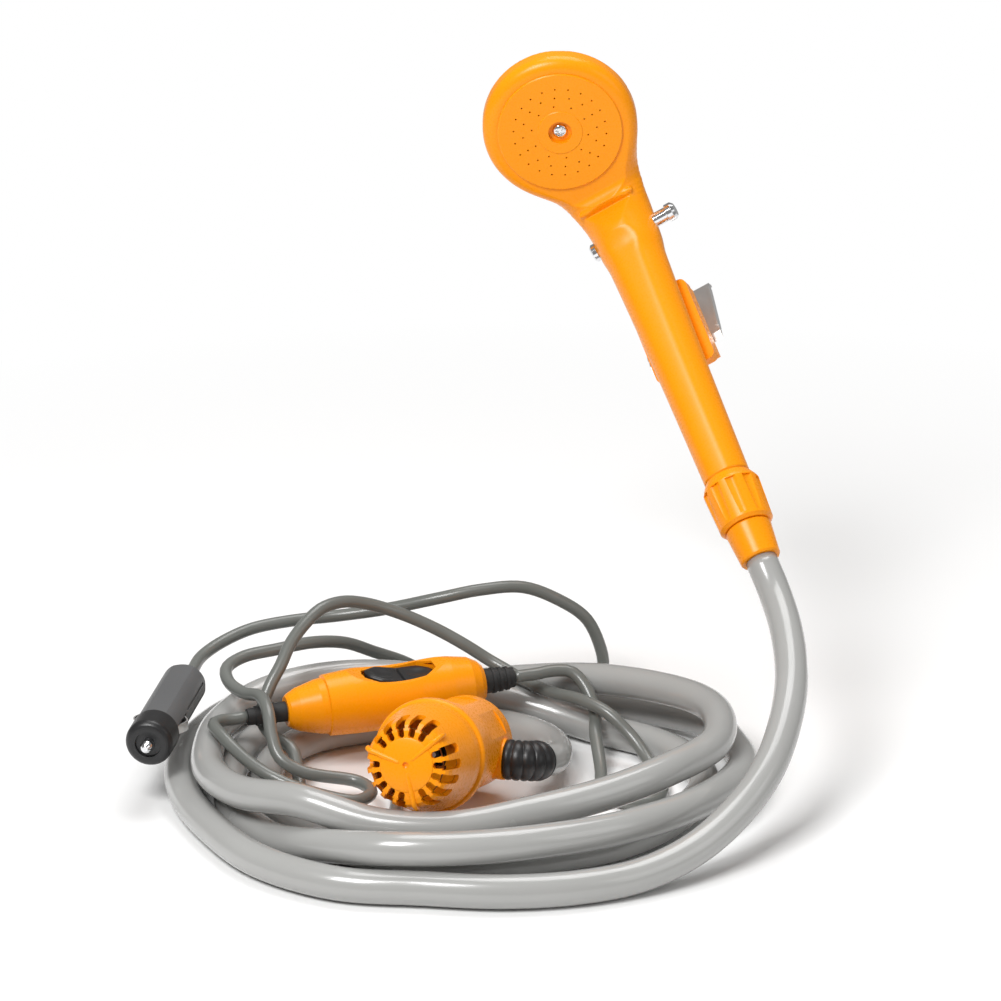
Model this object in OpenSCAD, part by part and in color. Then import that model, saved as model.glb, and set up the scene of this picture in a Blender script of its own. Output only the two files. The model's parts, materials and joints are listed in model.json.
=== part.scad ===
// Portable 12 V shower and washer set: a handset with a push valve, a submersible pump,
// an inline rocker switch, a lighter plug, one water hose and two cables.
// Millimetres, +Z up, the set lies on Z = 0 and its front faces -Y.

/* [Handset] */
// Length of the handle from the coupling nut to the neck ridge
handle_len = 142; // [120:1:160]
// Radius of the handle at the coupling nut
handle_low_r = 10.3; // [9.6:0.1:11.5]
// Radius of the handle at the neck ridge
handle_top_r = 14.6; // [13.6:0.1:16]
// Radius of the round head
head_r = 34.2; // [31:0.2:37]
// Depth of the head behind its spray face
head_depth = 23; // [21:0.5:27]
// Angle between the handle and the plane of the spray face
head_bend = 52; // [44:1:58]
// Distance from the neck ridge to the middle of the spray face
neck_len = 40.5; // [38:0.5:46]
// Radius of the water channel in the handle
channel_r = 4; // [3:0.1:5]

/* [Spray plate] */
// Radius of the spray plate
plate_r = 27.6; // [25:0.1:28]
// Thickness of the spray plate
plate_t = 3; // [2.6:0.1:3.6]
// How far the spray plate stands proud of the rim
plate_proud = 1; // [0.6:0.1:1.4]
// Radius of one spray hole
hole_r = 0.4; // [0.35:0.05:0.7]

/* [Stop valve] */
// Radius of the chrome push pin
pin_r = 3.2; // [2.6:0.1:3.6]
// Travel of the push pin
pin_travel = 6.5; // [4:0.1:8]
// Radius of the two pin heads
pin_head_r = 4.1; // [3.8:0.1:5]
// Distance of the pin below the neck ridge
pin_below_ridge = 12; // [10:0.5:16]

/* [Hanger] */
// Width of the bracket behind the handle
bracket_w = 29; // [26:0.5:32]
// Height of the bracket
bracket_h = 42; // [36:1:50]
// Height of the bracket's lower edge above the coupling nut
bracket_z = 61; // [50:1:70]
// Thickness of the steel hanger clip
clip_t = 1.2; // [0.8:0.1:1.6]
// Width of the clip's blade
blade_w = 36; // [32:1:40]
// Angle of the clip's blade to the handle
blade_lean = 27; // [20:1:32]

/* [Hose] */
// Outer radius of the hose
hose_r = 7; // [6:0.1:7.4]
// Radius of the coupling nut over its ribs
nut_r = 12.8; // [12:0.1:14]
// Length of the coupling nut
nut_len = 25; // [22:0.5:30]
// Length of the ferrule under the nut
ferrule_len = 16; // [12:0.5:22]
// Number of grip flutes on the nut
flutes = 10; // [6:1:14]

/* [Pump] */
// Radius of the motor housing
pump_r = 20; // [18.6:0.2:21.4]
// Radius of the collar between the housing and the strainer
collar_r = 24; // [23:0.2:26]
// Length of the motor housing
housing_len = 56; // [52:1:64]
// Length of the strainer cage in front of the collar
cage_len = 32; // [28:1:36]
// Radius of the cage's front face
cage_face_r = 17.4; // [16.6:0.2:19]
// Number of strainer slots in each of the three groups
slots = 5; // [3:1:5]
// Angle between two neighbouring slots
slot_pitch = 20; // [18:0.5:21]
// Width of one strainer slot
slot_w = 3.9; // [2.6:0.1:4.2]
// Wall of the strainer cage
cage_wall = 2; // [1.6:0.1:2.4]
// Number of impeller blades
blades = 5; // [3:1:8]

/* [Switch] */
// Length of the switch between its strain reliefs
switch_len = 88; // [84:1:94]
// Largest radius of the switch barrel
switch_r = 14.6; // [14:0.1:16]
// Length of the rocker
rocker_len = 31; // [28:0.5:33]
// Width of the rocker
rocker_w = 16; // [13:0.5:17]
// Angle that the rocker turns through
rocker_throw = 14; // [8:1:16]

/* [Plug] */
// Radius of the plug, for a 21 mm lighter socket
plug_r = 10.2; // [9.9:0.05:10.4]
// Length of the plug from the cable to its front ring
plug_len = 76; // [72:1:84]
// Travel of the sprung tip
tip_travel = 2.5; // [1.5:0.1:3]
// Radius of the cable
cable_r = 2.75; // [2.3:0.05:2.8]

/* [Fits] */
// Radial clearance of a shaft or a pin that turns or slides
run_gap = 0.05; // [0.03:0.01:0.08]
// Gap between two faces that are fastened together
seat_gap = 0.05; // [0.02:0.01:0.1]

/* [Hidden] */
amber = [1.0, 0.62, 0.1];
black = [0.1, 0.1, 0.1];
steel = [0.8, 0.8, 0.82];
brass = [0.8, 0.65, 0.3];
hose_grey = [0.72, 0.72, 0.7];
cable_grey = [0.42, 0.43, 0.41];

// Places of the four units, measured from the middle of the coil on the floor
coil_centre = [-41.8, -50.9, 0];
handset_pos = [107.3, 73.7, 115.8];
handset_turn = [-42, -31, -5];
pump_pos = [-4.7, 10.7, 19.7];
pump_turn = [73.3, 0, -15.5];
switch_pos = [-41, 38, 29];
switch_turn = [0, -2, 17];
plug_pos = [-127, 58, 30];
plug_turn = [90, 0, -9];

module on_handset() translate(coil_centre + handset_pos) rotate(handset_turn) children();
module on_pump() translate(coil_centre + pump_pos) rotate(pump_turn) children();
module on_switch() translate(coil_centre + switch_pos) rotate(switch_turn) children();
module on_plug() translate(coil_centre + plug_pos) rotate(plug_turn) children();

// Turns a vector about X, then Y, then Z, as rotate() does
function turn_x(a, v) = [v.x, v.y * cos(a) - v.z * sin(a), v.y * sin(a) + v.z * cos(a)];
function turn_y(a, v) = [v.x * cos(a) + v.z * sin(a), v.y, v.z * cos(a) - v.x * sin(a)];
function turn_z(a, v) = [v.x * cos(a) - v.y * sin(a), v.x * sin(a) + v.y * cos(a), v.z];
function turned(t, v) = turn_z(t.z, turn_y(t.y, turn_x(t.x, v)));
function arc(cx, cy, r, from, to, steps) =
    [for (i = [0 : steps]) let (a = from + (to - from) * i / steps) [cx + r * cos(a), cy + r * sin(a)]];

// Head frame: Z points out of the spray face, the origin is the middle of that face
face_pos = [0, -handle_top_r + 2.1 - neck_len * sin(head_bend), handle_len + neck_len * cos(head_bend)];
rim_z = -plate_proud;
seat_z = -plate_t;
cavity_r = plate_r - 4;
cavity_z = -head_depth + 9;
module on_head() translate(face_pos) rotate([90 + head_bend, 0, 0]) children();

// Handle radius at a height, a slow swell from the nut to the neck
function handle_r(z) = handle_low_r
    + (handle_top_r - handle_low_r) * (0.55 * z / handle_len + 0.45 * pow(z / handle_len, 3));
pin_z = handle_len - pin_below_ridge;
pin_reach = handle_r(pin_z + pin_head_r);
neck_z = pin_z + pin_head_r + 0.7;
spigot_r = 8;
spigot_len = 13;

module handle_solid(extra = 0) {
    steps = 10;
    rotate_extrude($fn = 72) polygon(concat([[0, 0]],
        [for (i = [0 : steps]) [handle_r(handle_len * i / steps) + extra, handle_len * i / steps]],
        [[handle_top_r - 1.4, handle_len + 2.6], [0, handle_len + 2.6]]));
}

module head_solid() {
    back_r = (head_r * head_r + 8 * 8) / (2 * 8);
    rotate_extrude($fn = 96) polygon(concat(
        [[0, rim_z]],
        arc(head_r - 5.5, rim_z - 5.5, 5.5, 90, 0, 6),
        [[head_r, rim_z - 9]],
        arc(head_r - 6, rim_z - 9, 6, -15, -62, 4),
        [for (i = [3 : -1 : 0]) let (x = (head_r - 4) * i / 4) [x, -head_depth + x * x / (2 * back_r)]]));
}

module neck_solid() {
    hull() {
        on_head() translate([0, 0, -15]) cylinder(r = head_r - 4, h = 15 - plate_proud - 1.2, $fn = 40);
        translate([0, 0, neck_z]) cylinder(r1 = handle_r(neck_z) - 0.4,
            r2 = handle_top_r - 1.2, h = handle_len - 1 - neck_z, $fn = 40);
    }
}

module handset_body() color(amber) on_handset() difference() {
    union() {
        handle_solid();
        on_head() head_solid();
        neck_solid();
        translate([0, 0, -spigot_len]) cylinder(r = spigot_r, h = spigot_len + 1, $fn = 48);
    }
    // Flat grip panel along the front of the handle
    translate([0, -handle_low_r + 0.5, -1]) rotate([1.15, 0, 0]) translate([-12, -10, 0])
        cube([24, 10, pin_z - 2]);
    // Water channel, valve bore and the slanting channel into the head
    translate([0, 0, -spigot_len - 1]) cylinder(r = channel_r, h = spigot_len + pin_z + 1, $fn = 40);
    translate([-25, 0, pin_z]) rotate([0, 90, 0]) cylinder(r = pin_r + run_gap, h = 50, $fn = 40);
    translate([0, 0, pin_z]) rotate([head_bend - 10, 0, 0]) cylinder(r = channel_r - 0.5, h = 44, $fn = 32);
    // Head cavity, plate seat and seal groove
    on_head() {
        difference() {
            translate([0, 0, cavity_z]) cylinder(r = cavity_r, h = head_depth, $fn = 72);
            translate([0, 0, cavity_z - 1]) cylinder(r = 4.6, h = seat_z - 1.6 - cavity_z + 1, $fn = 32);
        }
        translate([0, 0, seat_z]) cylinder(r = plate_r + seat_gap, h = 10, $fn = 72);
        translate([0, 0, seat_z - 1.75]) difference() {
            cylinder(r = plate_r - 1.1, h = 2, $fn = 72);
            translate([0, 0, -1]) cylinder(r = plate_r - 2.9, h = 4, $fn = 72);
        }
        translate([0, 0, seat_z - 10]) cylinder(r = 1.5, h = 12, $fn = 24);
    }
}

module spray_plate() color(amber) on_handset() on_head() difference() {
    union() {
        translate([0, 0, seat_z + seat_gap]) cylinder(r = plate_r, h = plate_t - seat_gap - 0.4, $fn = 96);
        translate([0, 0, -0.4]) cylinder(r1 = plate_r, r2 = plate_r - 0.4, h = 0.4, $fn = 96);
        translate([0, 0, -0.1]) cylinder(r1 = 10.2, r2 = 9.8, h = 0.4, $fn = 64);
        translate([0, 0, seat_z - 1.5]) cylinder(r = 6, h = 2, $fn = 40);
    }
    translate([0, 0, -2.2]) cylinder(r = 5.2, h = 4, $fn = 48);
    translate([0, 0, seat_z - 3]) cylinder(r = 1.8, h = 6, $fn = 24);
    for (ring = [0 : 2], i = [0 : 9 + 6 * ring])
        rotate(i * 360 / (10 + 6 * ring)) translate([12.5 + 4 * ring, 0, seat_z - 1])
            cylinder(r = hole_r, h = plate_t + 2, $fn = 16);
}

module spray_seal() color(black) on_handset() on_head() translate([0, 0, seat_z - 0.88])
    rotate_extrude($fn = 72) translate([plate_r - 2, 0]) circle(r = 0.85, $fn = 20);

module plate_screw() color(steel) on_handset() on_head() difference() {
    union() {
        translate([0, 0, -2.2 + seat_gap]) cylinder(r1 = 3.4, r2 = 2.9, h = 1.5, $fn = 40);
        translate([0, 0, -12]) cylinder(r = 1.5 - run_gap, h = 11, $fn = 24);
    }
    for (a = [45, 135]) rotate(a) translate([-2.1, -0.35, -1.3]) cube([4.2, 0.7, 2]);
}

// The push pin at rest stands out to the right, and its left head rests by the handle
module valve_pin() color(steel) on_handset() translate([0, 0, pin_z]) rotate([0, 90, 0]) {
    left = -pin_reach - 0.2;
    right = pin_reach + 0.2 + pin_travel;
    rotate_extrude($fn = 48) polygon([[0, left - 3], [pin_head_r - 0.7, left - 3], [pin_head_r, left - 2.3],
        [pin_head_r, left - 0.4], [pin_head_r - 0.4, left], [pin_r, left],
        [pin_r, -8], [pin_r - 0.95, -8], [pin_r - 0.95, -6.9], [pin_r, -6.9], [pin_r, -3],
        [pin_r - 1.3, -2], [pin_r - 1.3, 2], [pin_r, 3], [pin_r, 6.9], [pin_r - 0.95, 6.9],
        [pin_r - 0.95, 8], [pin_r, 8], [pin_r, right],
        [pin_head_r, right + 0.4], [pin_head_r, right + 3],
        [pin_head_r - 1.1, right + 4.2], [0, right + 4.2]]);
}

module valve_o_rings() color(black) on_handset() translate([0, 0, pin_z]) rotate([0, 90, 0])
    for (x = [-7.45, 7.45]) translate([0, 0, x]) rotate_extrude($fn = 40)
        translate([pin_r - 0.46, 0]) circle(r = 0.44, $fn = 16);

// Channel rail that holds the clip, saddled on the back of the handle
back_y = handle_r(bracket_z + bracket_h / 2) + 2.6;
screw_z = [bracket_z + 13, bracket_z + bracket_h - 11];
module rounded_slab(w, h, t, r) rotate([90, 0, 0]) translate([0, 0, -t]) linear_extrude(t) hull()
    for (x = [-w / 2 + r, w / 2 - r], z = [r, h - r]) translate([x, z]) circle(r = r, $fn = 24);

module hanger_bracket() color(amber) on_handset() difference() {
    union() {
        translate([0, back_y - 5.6, bracket_z]) rounded_slab(bracket_w, bracket_h, 5.6, 3);
        for (side = [-1, 1]) translate([side * (bracket_w / 2 - 1.1), back_y - 1, bracket_z + 2])
            translate([-1.1, 0, 0]) cube([2.2, 3.6, bracket_h - 6]);
    }
    handle_solid(seat_gap);
    for (z = screw_z) translate([0, 0, z]) rotate([-90, 0, 0]) cylinder(r = 1.5, h = 40, $fn = 24);
}

// Steel clip: a foot in the rail, a fold at the bottom and a blade that leans away
foot_w = bracket_w - 4.8;
foot_y = back_y + seat_gap;
fold_z = bracket_z + 5;
blade_len = 46;
module clip_side() {
    dy = sin(blade_lean);
    dz = cos(blade_lean);
    out = foot_y + clip_t + 1.6;
    polygon([[foot_y, bracket_z + bracket_h - 6], [foot_y, fold_z + 1.5], [foot_y + 1.2, fold_z - 0.5],
        [out - 0.6, fold_z - 0.5], [out + clip_t, fold_z + 1],
        [out + clip_t + blade_len * dy, fold_z + 1 + blade_len * dz],
        [out + clip_t + blade_len * dy + 2.4, fold_z + 2 + blade_len * dz],
        [out + clip_t + blade_len * dy + 2.4, fold_z + 2 + clip_t + blade_len * dz],
        [out + blade_len * dy - 0.4, fold_z + 2 + clip_t * 0.6 + blade_len * dz],
        [out - 0.3, fold_z + 1 + clip_t],
        [foot_y + clip_t + 0.3, fold_z + 0.5 + clip_t], [foot_y + clip_t, fold_z + 1.5 + clip_t],
        [foot_y + clip_t, bracket_z + bracket_h - 6]]);
}
module hanger_clip() color(steel) on_handset() {
    dy = sin(blade_lean);
    difference() {
        translate([-blade_w / 2, 0, 0]) rotate([90, 0, 90]) linear_extrude(blade_w) clip_side();
        // The foot and the fold are narrower than the blade
        for (side = [-1, 1]) translate([side * (foot_w / 2 + 10), foot_y + 1.4, fold_z + 20])
            cube([20, 9.2 + 2 * clip_t, 60], center = true);
        for (z = screw_z) translate([0, foot_y - 1, z]) rotate([-90, 0, 0])
            cylinder(r = 1.6, h = clip_t + 1.6, $fn = 24);
        for (z = screw_z) translate([0, foot_y + 4, z]) rotate([-90, 0, 0])
            cylinder(r = 3.4, h = 40, $fn = 24);
    }
    // Folded side lips of the blade
    for (side = [-1, 1]) translate([side * (blade_w / 2 - clip_t / 2) - clip_t / 2,
            foot_y + 2 * clip_t + 1.6 + 8 * dy, fold_z + 1 + 14])
        rotate([-blade_lean, 0, 0]) cube([clip_t, 3.6, blade_len - 16]);
}

module clip_screws() color(steel) on_handset() for (z = screw_z)
    translate([0, 0, z]) rotate([-90, 0, 0]) {
        translate([0, 0, foot_y + clip_t + seat_gap]) cylinder(r1 = 2.8, r2 = 2.3, h = 1.5, $fn = 32);
        translate([0, 0, handle_r(z) + 0.2]) cylinder(r = 1.5 - run_gap,
            h = foot_y + clip_t + 0.5 - handle_r(z), $fn = 24);
    }

// Coupling nut, washer, hose tail and ferrule, measured down from the handle's end
nut_top = -0.3;
collar_top = -nut_len + 8;
tail_neck_r = 6.3;
ferrule_top = -nut_len - 0.4;
ferrule_end = ferrule_top - ferrule_len;
module coupling_nut() color(amber) on_handset() difference() {
    rotate_extrude($fn = 72) polygon([[spigot_r + 0.2, nut_top], [handle_low_r + 0.1, nut_top],
        [nut_r - 0.5, nut_top - 3.2], [nut_r, nut_top - 4.4], [nut_r - 0.8, -nut_len + 1.4],
        [nut_r - 2, -nut_len], [tail_neck_r + run_gap, -nut_len], [tail_neck_r + run_gap, collar_top],
        [spigot_r + 0.2, collar_top]]);
    for (i = [0 : flutes - 1]) rotate(i * 360 / flutes) translate([nut_r + 2.9, 0, -nut_len + 2.5])
        cylinder(r = 4, h = nut_len - 7.5, $fn = 32);
}
module hose_washer() color(black) on_handset() translate([0, 0, -spigot_len - 2.25]) difference() {
    cylinder(r = spigot_r - 0.2, h = 2.2, $fn = 48);
    translate([0, 0, -1]) cylinder(r = channel_r, h = 5, $fn = 32);
}
module hose_tail() color(brass) on_handset() difference() {
    rotate_extrude($fn = 48) polygon([[0, -spigot_len - 2.3], [spigot_r - 0.1, -spigot_len - 2.3],
        [spigot_r - 0.1, collar_top + seat_gap], [tail_neck_r, collar_top + seat_gap],
        [tail_neck_r, ferrule_top + seat_gap], [4.9, ferrule_top + seat_gap],
        for (i = [0 : 3]) each [[5, ferrule_top - 2 - 3.2 * i], [4.5, ferrule_top - 2.2 - 3.2 * i]],
        [4.5, ferrule_end + 1], [0, ferrule_end + 1]]);
    translate([0, 0, ferrule_end - 1]) cylinder(r = channel_r - 0.6, h = 60, $fn = 32);
}
module hose_ferrule() color(amber) on_handset() difference() {
    rotate_extrude($fn = 64) polygon([[5, ferrule_top], [nut_r - 2.9, ferrule_top],
        [nut_r - 2.6, ferrule_top - 0.6], [hose_r + 1.9, ferrule_end + 0.8],
        [hose_r + 1.3, ferrule_end], [5, ferrule_end]]);
    translate([0, 0, ferrule_end - 1]) cylinder(r = 5.05, h = ferrule_len + 2, $fn = 48);
}

// Pump, Z runs along its axis from the rear cap to the strainer
cap_t = 4;
chamber_r = pump_r - 4.6;
bulkhead_z = housing_len - 10;
impeller_room_r = pump_r - 2;
outlet_z = 14;
outlet_r = 3.6;
outlet_y = -4;
outlet_reach = pump_r + 0.8;
cage_z = housing_len + 7;
face_z = cage_z + cage_len;
shaft_r = 1.15;

module pump_housing() color(amber) on_pump() difference() {
    union() {
        rotate_extrude($fn = 72) polygon([[0, cap_t], [pump_r, cap_t], [pump_r, housing_len - 10],
            [collar_r - 2, housing_len - 6.8], [collar_r - 1.4, housing_len - 5],
            [collar_r - 1.4, housing_len - 0.3], [collar_r - 1.7, housing_len], [0, housing_len]]);
        translate([0, outlet_y, outlet_z]) rotate([0, 90, 0]) cylinder(r = 8.8, h = outlet_reach, $fn = 48);
    }
    // Shallow flats moulded into the side of the housing
    for (a = [35, 90, 145, 215]) rotate(a) translate([pump_r - 0.9, -8, cap_t + 6]) cube([6, 16, 24]);
    translate([0, 0, -1]) cylinder(r = chamber_r, h = bulkhead_z + 1, $fn = 64);
    translate([0, 0, bulkhead_z - 1]) cylinder(r = 4 + seat_gap, h = 6, $fn = 32);
    translate([0, 0, bulkhead_z + 3]) cylinder(r = impeller_room_r, h = 20, $fn = 64);
    translate([chamber_r - 5, outlet_y, outlet_z]) rotate([0, 90, 0]) cylinder(r = outlet_r, h = 30, $fn = 32);
    for (i = [0 : 2]) rotate(60 + 120 * i) translate([pump_r - 2.6, 0, -1])
        cylinder(r = 1, h = cap_t + 10, $fn = 16);
}
module pump_rear_cap() color(amber) on_pump() difference() {
    union() {
        rotate_extrude($fn = 72) polygon(concat([[0, 0], [pump_r - 2.4, 0]],
            arc(pump_r - 2.4, 2.4, 2.4, -60, 0, 3), [[pump_r, cap_t - seat_gap], [0, cap_t - seat_gap]]));
        cylinder(r = chamber_r - seat_gap, h = cap_t + 3, $fn = 64);
    }
    translate([0, 5, -1]) cylinder(r = 3.9, h = 12, $fn = 32);
    for (i = [0 : 2]) rotate(60 + 120 * i) translate([pump_r - 2.6, 0, 0]) {
        translate([0, 0, -1]) cylinder(r = 1.2, h = 12, $fn = 16);
        translate([0, 0, -1]) cylinder(r = 2.1, h = 2.6, $fn = 24);
    }
}
module cap_screws() color(steel) on_pump() for (i = [0 : 2]) rotate(60 + 120 * i)
    translate([pump_r - 2.6, 0, 0]) {
        translate([0, 0, 0.3]) cylinder(r = 1.9, h = 1.3 - seat_gap, $fn = 24);
        translate([0, 0, 1]) cylinder(r = 1 - run_gap, h = 9, $fn = 16);
    }
module pump_collar() color(amber) on_pump() difference() {
    rotate_extrude($fn = 96) polygon(concat(
        [[7, housing_len + seat_gap], [collar_r - 1, housing_len + seat_gap]],
        arc(collar_r - 1.6, housing_len + 2, 1.6, -50, 0, 3),
        arc(collar_r - 2, housing_len + 5, 2, 0, 90, 4),
        [[20.6, cage_z], [20.6, cage_z + 2.6], [18.6, cage_z + 2.6],
        [18.6, housing_len + 3.2], [7, housing_len + 3.2]]));
    translate([0, 0, housing_len - 1]) cylinder(r = 7, h = 6, $fn = 40);
    // Crescent finger groove in the collar's front
    rotate(48) translate([collar_r - 3.6, -7, cage_z - 0.5]) cube([0.9, 14, 1]);
}

// The cage is a cup whose slots run over the edge from the face to the side wall
cage_root_r = 22.6;
module cage_profile(inset, front) polygon([
    [0, cage_z + seat_gap], [cage_root_r - inset, cage_z + seat_gap],
    [cage_root_r - 0.5 - inset, cage_z + 5], [cage_root_r - 2 - inset, cage_z + 12],
    [cage_face_r + 1.9 - inset, cage_z + 0.6 * cage_len], [cage_face_r + 0.7 - inset, face_z - 5],
    [cage_face_r - inset, face_z - 2.4 - front], [cage_face_r - 1.2 - inset, face_z - 0.7 - front],
    [cage_face_r - 3.4 - inset, face_z - front], [7, face_z + 0.8 - front], [0, face_z + 1 - front]]);
module strainer_cage() color(amber) on_pump() difference() {
    rotate_extrude($fn = 96) cage_profile(0, 0);
    difference() {
        rotate_extrude($fn = 96) cage_profile(cage_wall, cage_wall);
        for (i = [0 : 2]) rotate(120 * i + 30) translate([-0.6, 0, face_z - 7]) cube([1.2, 40, 10]);
    }
    translate([0, 0, cage_z - 1]) cylinder(r = cage_root_r - cage_wall + 0.05, h = 4.4, $fn = 96);
    translate([0, 0, face_z - 6]) cylinder(r = 1.1, h = 12, $fn = 20);
    for (g = [0 : 2], i = [0 : slots - 1]) rotate(105 + 120 * g + (i - (slots - 1) / 2) * slot_pitch) {
        translate([12.4, 0, face_z - 3]) cylinder(r = slot_w / 2 - 0.6, h = 6, $fn = 20);
        translate([12.4, -slot_w / 2 + 0.6, face_z - 3]) cube([12, slot_w - 1.2, 6]);
        translate([14.8, -slot_w / 2, face_z - 11]) cube([12, slot_w, 14]);
        translate([14.8, 0, face_z - 11]) rotate([0, 90, 0]) cylinder(r = slot_w / 2, h = 12, $fn = 24);
    }
}
module impeller() color(black) on_pump() difference() {
    union() {
        translate([0, 0, bulkhead_z + 4]) cylinder(r = impeller_room_r - 1.4, h = 1.2, $fn = 64);
        translate([0, 0, bulkhead_z + 4]) cylinder(r1 = 3.6, r2 = 2.6, h = 5.2, $fn = 32);
        for (i = [0 : blades - 1]) rotate(i * 360 / blades) translate([0, 0, bulkhead_z + 4.6])
            intersection() {
                translate([0, -11, 0]) difference() {
                    cylinder(r = 11.6, h = 4.4, $fn = 48);
                    translate([0, 0, -1]) cylinder(r = 10.4, h = 8, $fn = 48);
                }
                translate([2, -8, 0]) cube([14, 24, 6]);
                cylinder(r = impeller_room_r - 1.6, h = 6, $fn = 64);
            }
    }
    translate([0, 0, bulkhead_z]) cylinder(r = shaft_r, h = 20, $fn = 24);
}
module motor_can() color(steel) on_pump() difference() {
    union() {
        translate([0, 0, cap_t + 4.5]) cylinder(r = chamber_r - 0.5, h = bulkhead_z - cap_t - 7, $fn = 64);
        translate([0, 0, bulkhead_z - 3]) cylinder(r = 5, h = 2, $fn = 32);
        translate([0, 0, cap_t + 3.2]) cylinder(r = 6, h = 3, $fn = 32);
    }
    translate([0, 0, bulkhead_z - 12]) cylinder(r = shaft_r + run_gap, h = 20, $fn = 24);
}
module motor_shaft() color(steel) on_pump() translate([0, 0, bulkhead_z - 11.5])
    cylinder(r = shaft_r, h = 20.5, $fn = 24);
module shaft_seal() color(black) on_pump() translate([0, 0, bulkhead_z - 0.6]) difference() {
    cylinder(r = 4, h = 3.5, $fn = 32);
    translate([0, 0, -1]) cylinder(r = shaft_r + run_gap, h = 6, $fn = 24);
}

// Ribbed elbow over the hose end: it turns the hose from the outlet to the back
elbow_r = 10.5;
elbow_angle = 75;
elbow_start = outlet_reach + 2.4;
module outlet_elbow() color(black) on_pump() translate([0, outlet_y, outlet_z]) {
    difference() {
        union() {
            translate([outlet_reach + seat_gap, 0, 0]) rotate([0, 90, 0])
                cylinder(r = 8.8, h = 2.7, $fn = 48);
            translate([chamber_r + 0.4, 0, 0]) rotate([0, 90, 0])
                cylinder(r = outlet_r - seat_gap, h = outlet_reach - chamber_r, $fn = 32);
            translate([elbow_start, 0, -elbow_r]) rotate([90, 0, 0]) rotate(90 - elbow_angle)
                rotate_extrude(angle = elbow_angle, $fn = 96) translate([elbow_r, 0])
                    circle(r = 7.6, $fn = 40);
            for (k = [1 : 4]) translate([elbow_start, 0, -elbow_r]) rotate([90, 0, 0])
                rotate(90 - elbow_angle * k / 4.6) rotate_extrude(angle = 7, $fn = 96)
                    translate([elbow_r, 0]) circle(r = 8.5, $fn = 40);
        }
        translate([chamber_r - 1, 0, 0]) rotate([0, 90, 0]) cylinder(r = outlet_r - 1.1, h = 12, $fn = 32);
    }
}
module cable_gland() color(black) on_pump() translate([0, 5, 0]) union() {
    rotate([180, 0, 0]) cylinder(r1 = 5.6, r2 = 3.9, h = 14, $fn = 40);
    cylinder(r = 3.9 - seat_gap, h = cap_t + 2.4, $fn = 32);
}
gland_tip = pump_pos + turned(pump_turn, [0, 5, -14]);

// Switch: X runs along the barrel from the left nose to the right end
switch_end = switch_len / 2;
step_x = -switch_end + 17;
split_z = -7;
rocker_x = 6.5;
rocker_z = 4;
relief_hole_r = 3.4;
module barrel(inset) rotate([0, 90, 0]) rotate([0, 0, 180]) rotate_extrude($fn = 96) polygon([
    [0, -switch_end + inset], [switch_r - 8.1 - inset, -switch_end + inset],
    [switch_r - 7.1 - inset, -switch_end + 1.2], [switch_r - 5.2 - inset, -switch_end + 5],
    [switch_r - 2.8 - inset, step_x - 3], [switch_r - 2.4 - inset, step_x],
    [switch_r - 1.3 - inset, step_x + 0.4], [switch_r - 0.4 - inset, step_x + 12],
    [switch_r - inset, -2], [switch_r - 0.2 - inset, 14], [switch_r - 1.2 - inset, 29],
    [switch_r - 2.8 - inset, switch_end - 6], [switch_r - 5 - inset, switch_end - 2],
    [switch_r - 7 - inset, switch_end - inset], [0, switch_end - inset]]);
module rocker_plan(extra) {
    x = rocker_len / 2 + extra;
    y = rocker_w / 2 + extra;
    polygon([[-x, -y + 4.6], [-x + 5.6, -y], [x - 5.6, -y], [x, -y + 4.6],
        [x, y - 4.6], [x - 5.6, y], [-x + 5.6, y], [-x, y - 4.6]]);
}
module switch_shell() difference() {
    barrel(0);
    intersection() {
        barrel(2.4);
        translate([-60, -30, -switch_r + 5.2]) cube([120, 60, 40]);
    }
    translate([-60, -30, -40]) cube([120, 60, 40 - switch_r + 3]);
    rotate([0, 90, 0]) translate([0, 0, -60]) cylinder(r = relief_hole_r, h = 120, $fn = 40);
    translate([rocker_x, 0, switch_r - 4.9 + 60]) rotate([90, 0, 0])
        cylinder(r = 60, h = 60, center = true, $fn = 160);
}
module switch_top() color(amber) on_switch() difference() {
    union() {
        intersection() {
            switch_shell();
            translate([-60, -30, split_z + seat_gap]) cube([120, 60, 60]);
        }
        // Walls of the rocker well, with the pivot bosses
        intersection() {
            translate([rocker_x, 0, -1]) linear_extrude(switch_r - 4) rocker_plan(1.8);
            barrel(1);
            translate([rocker_x, 0, switch_r - 4.9 + 60]) rotate([90, 0, 0]) difference() {
                cylinder(r = 90, h = 60, center = true, $fn = 24);
                cylinder(r = 60, h = 61, center = true, $fn = 160);
            }
        }
    }
    translate([rocker_x, 0, -5]) linear_extrude(40) rocker_plan(0.4);
    translate([rocker_x, 0, rocker_z]) rotate([90, 0, 0]) cylinder(r = 1.2, h = 21, center = true, $fn = 24);
}
module switch_base() color(amber) on_switch() difference() {
    union() {
        intersection() {
            switch_shell();
            translate([-60, -30, -60]) cube([120, 60, 60 + split_z]);
        }
        for (x = [step_x + 6, switch_end - 12]) translate([x, 0, -switch_r + 4])
            cylinder(r = 3, h = 3, $fn = 32);
    }
    for (x = [step_x + 6, switch_end - 12]) translate([x, 0, -switch_r]) {
        cylinder(r = 1.3, h = 12, $fn = 20);
        cylinder(r = 2.4, h = 4.6, $fn = 24);
    }
}
module switch_screws() color(steel) on_switch() for (x = [step_x + 6, switch_end - 12])
    translate([x, 0, -switch_r]) {
        translate([0, 0, 3.2]) cylinder(r = 2.2, h = 1.4 - seat_gap, $fn = 24);
        translate([0, 0, 4]) cylinder(r = 1.3 - run_gap, h = 5, $fn = 20);
    }
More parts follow.
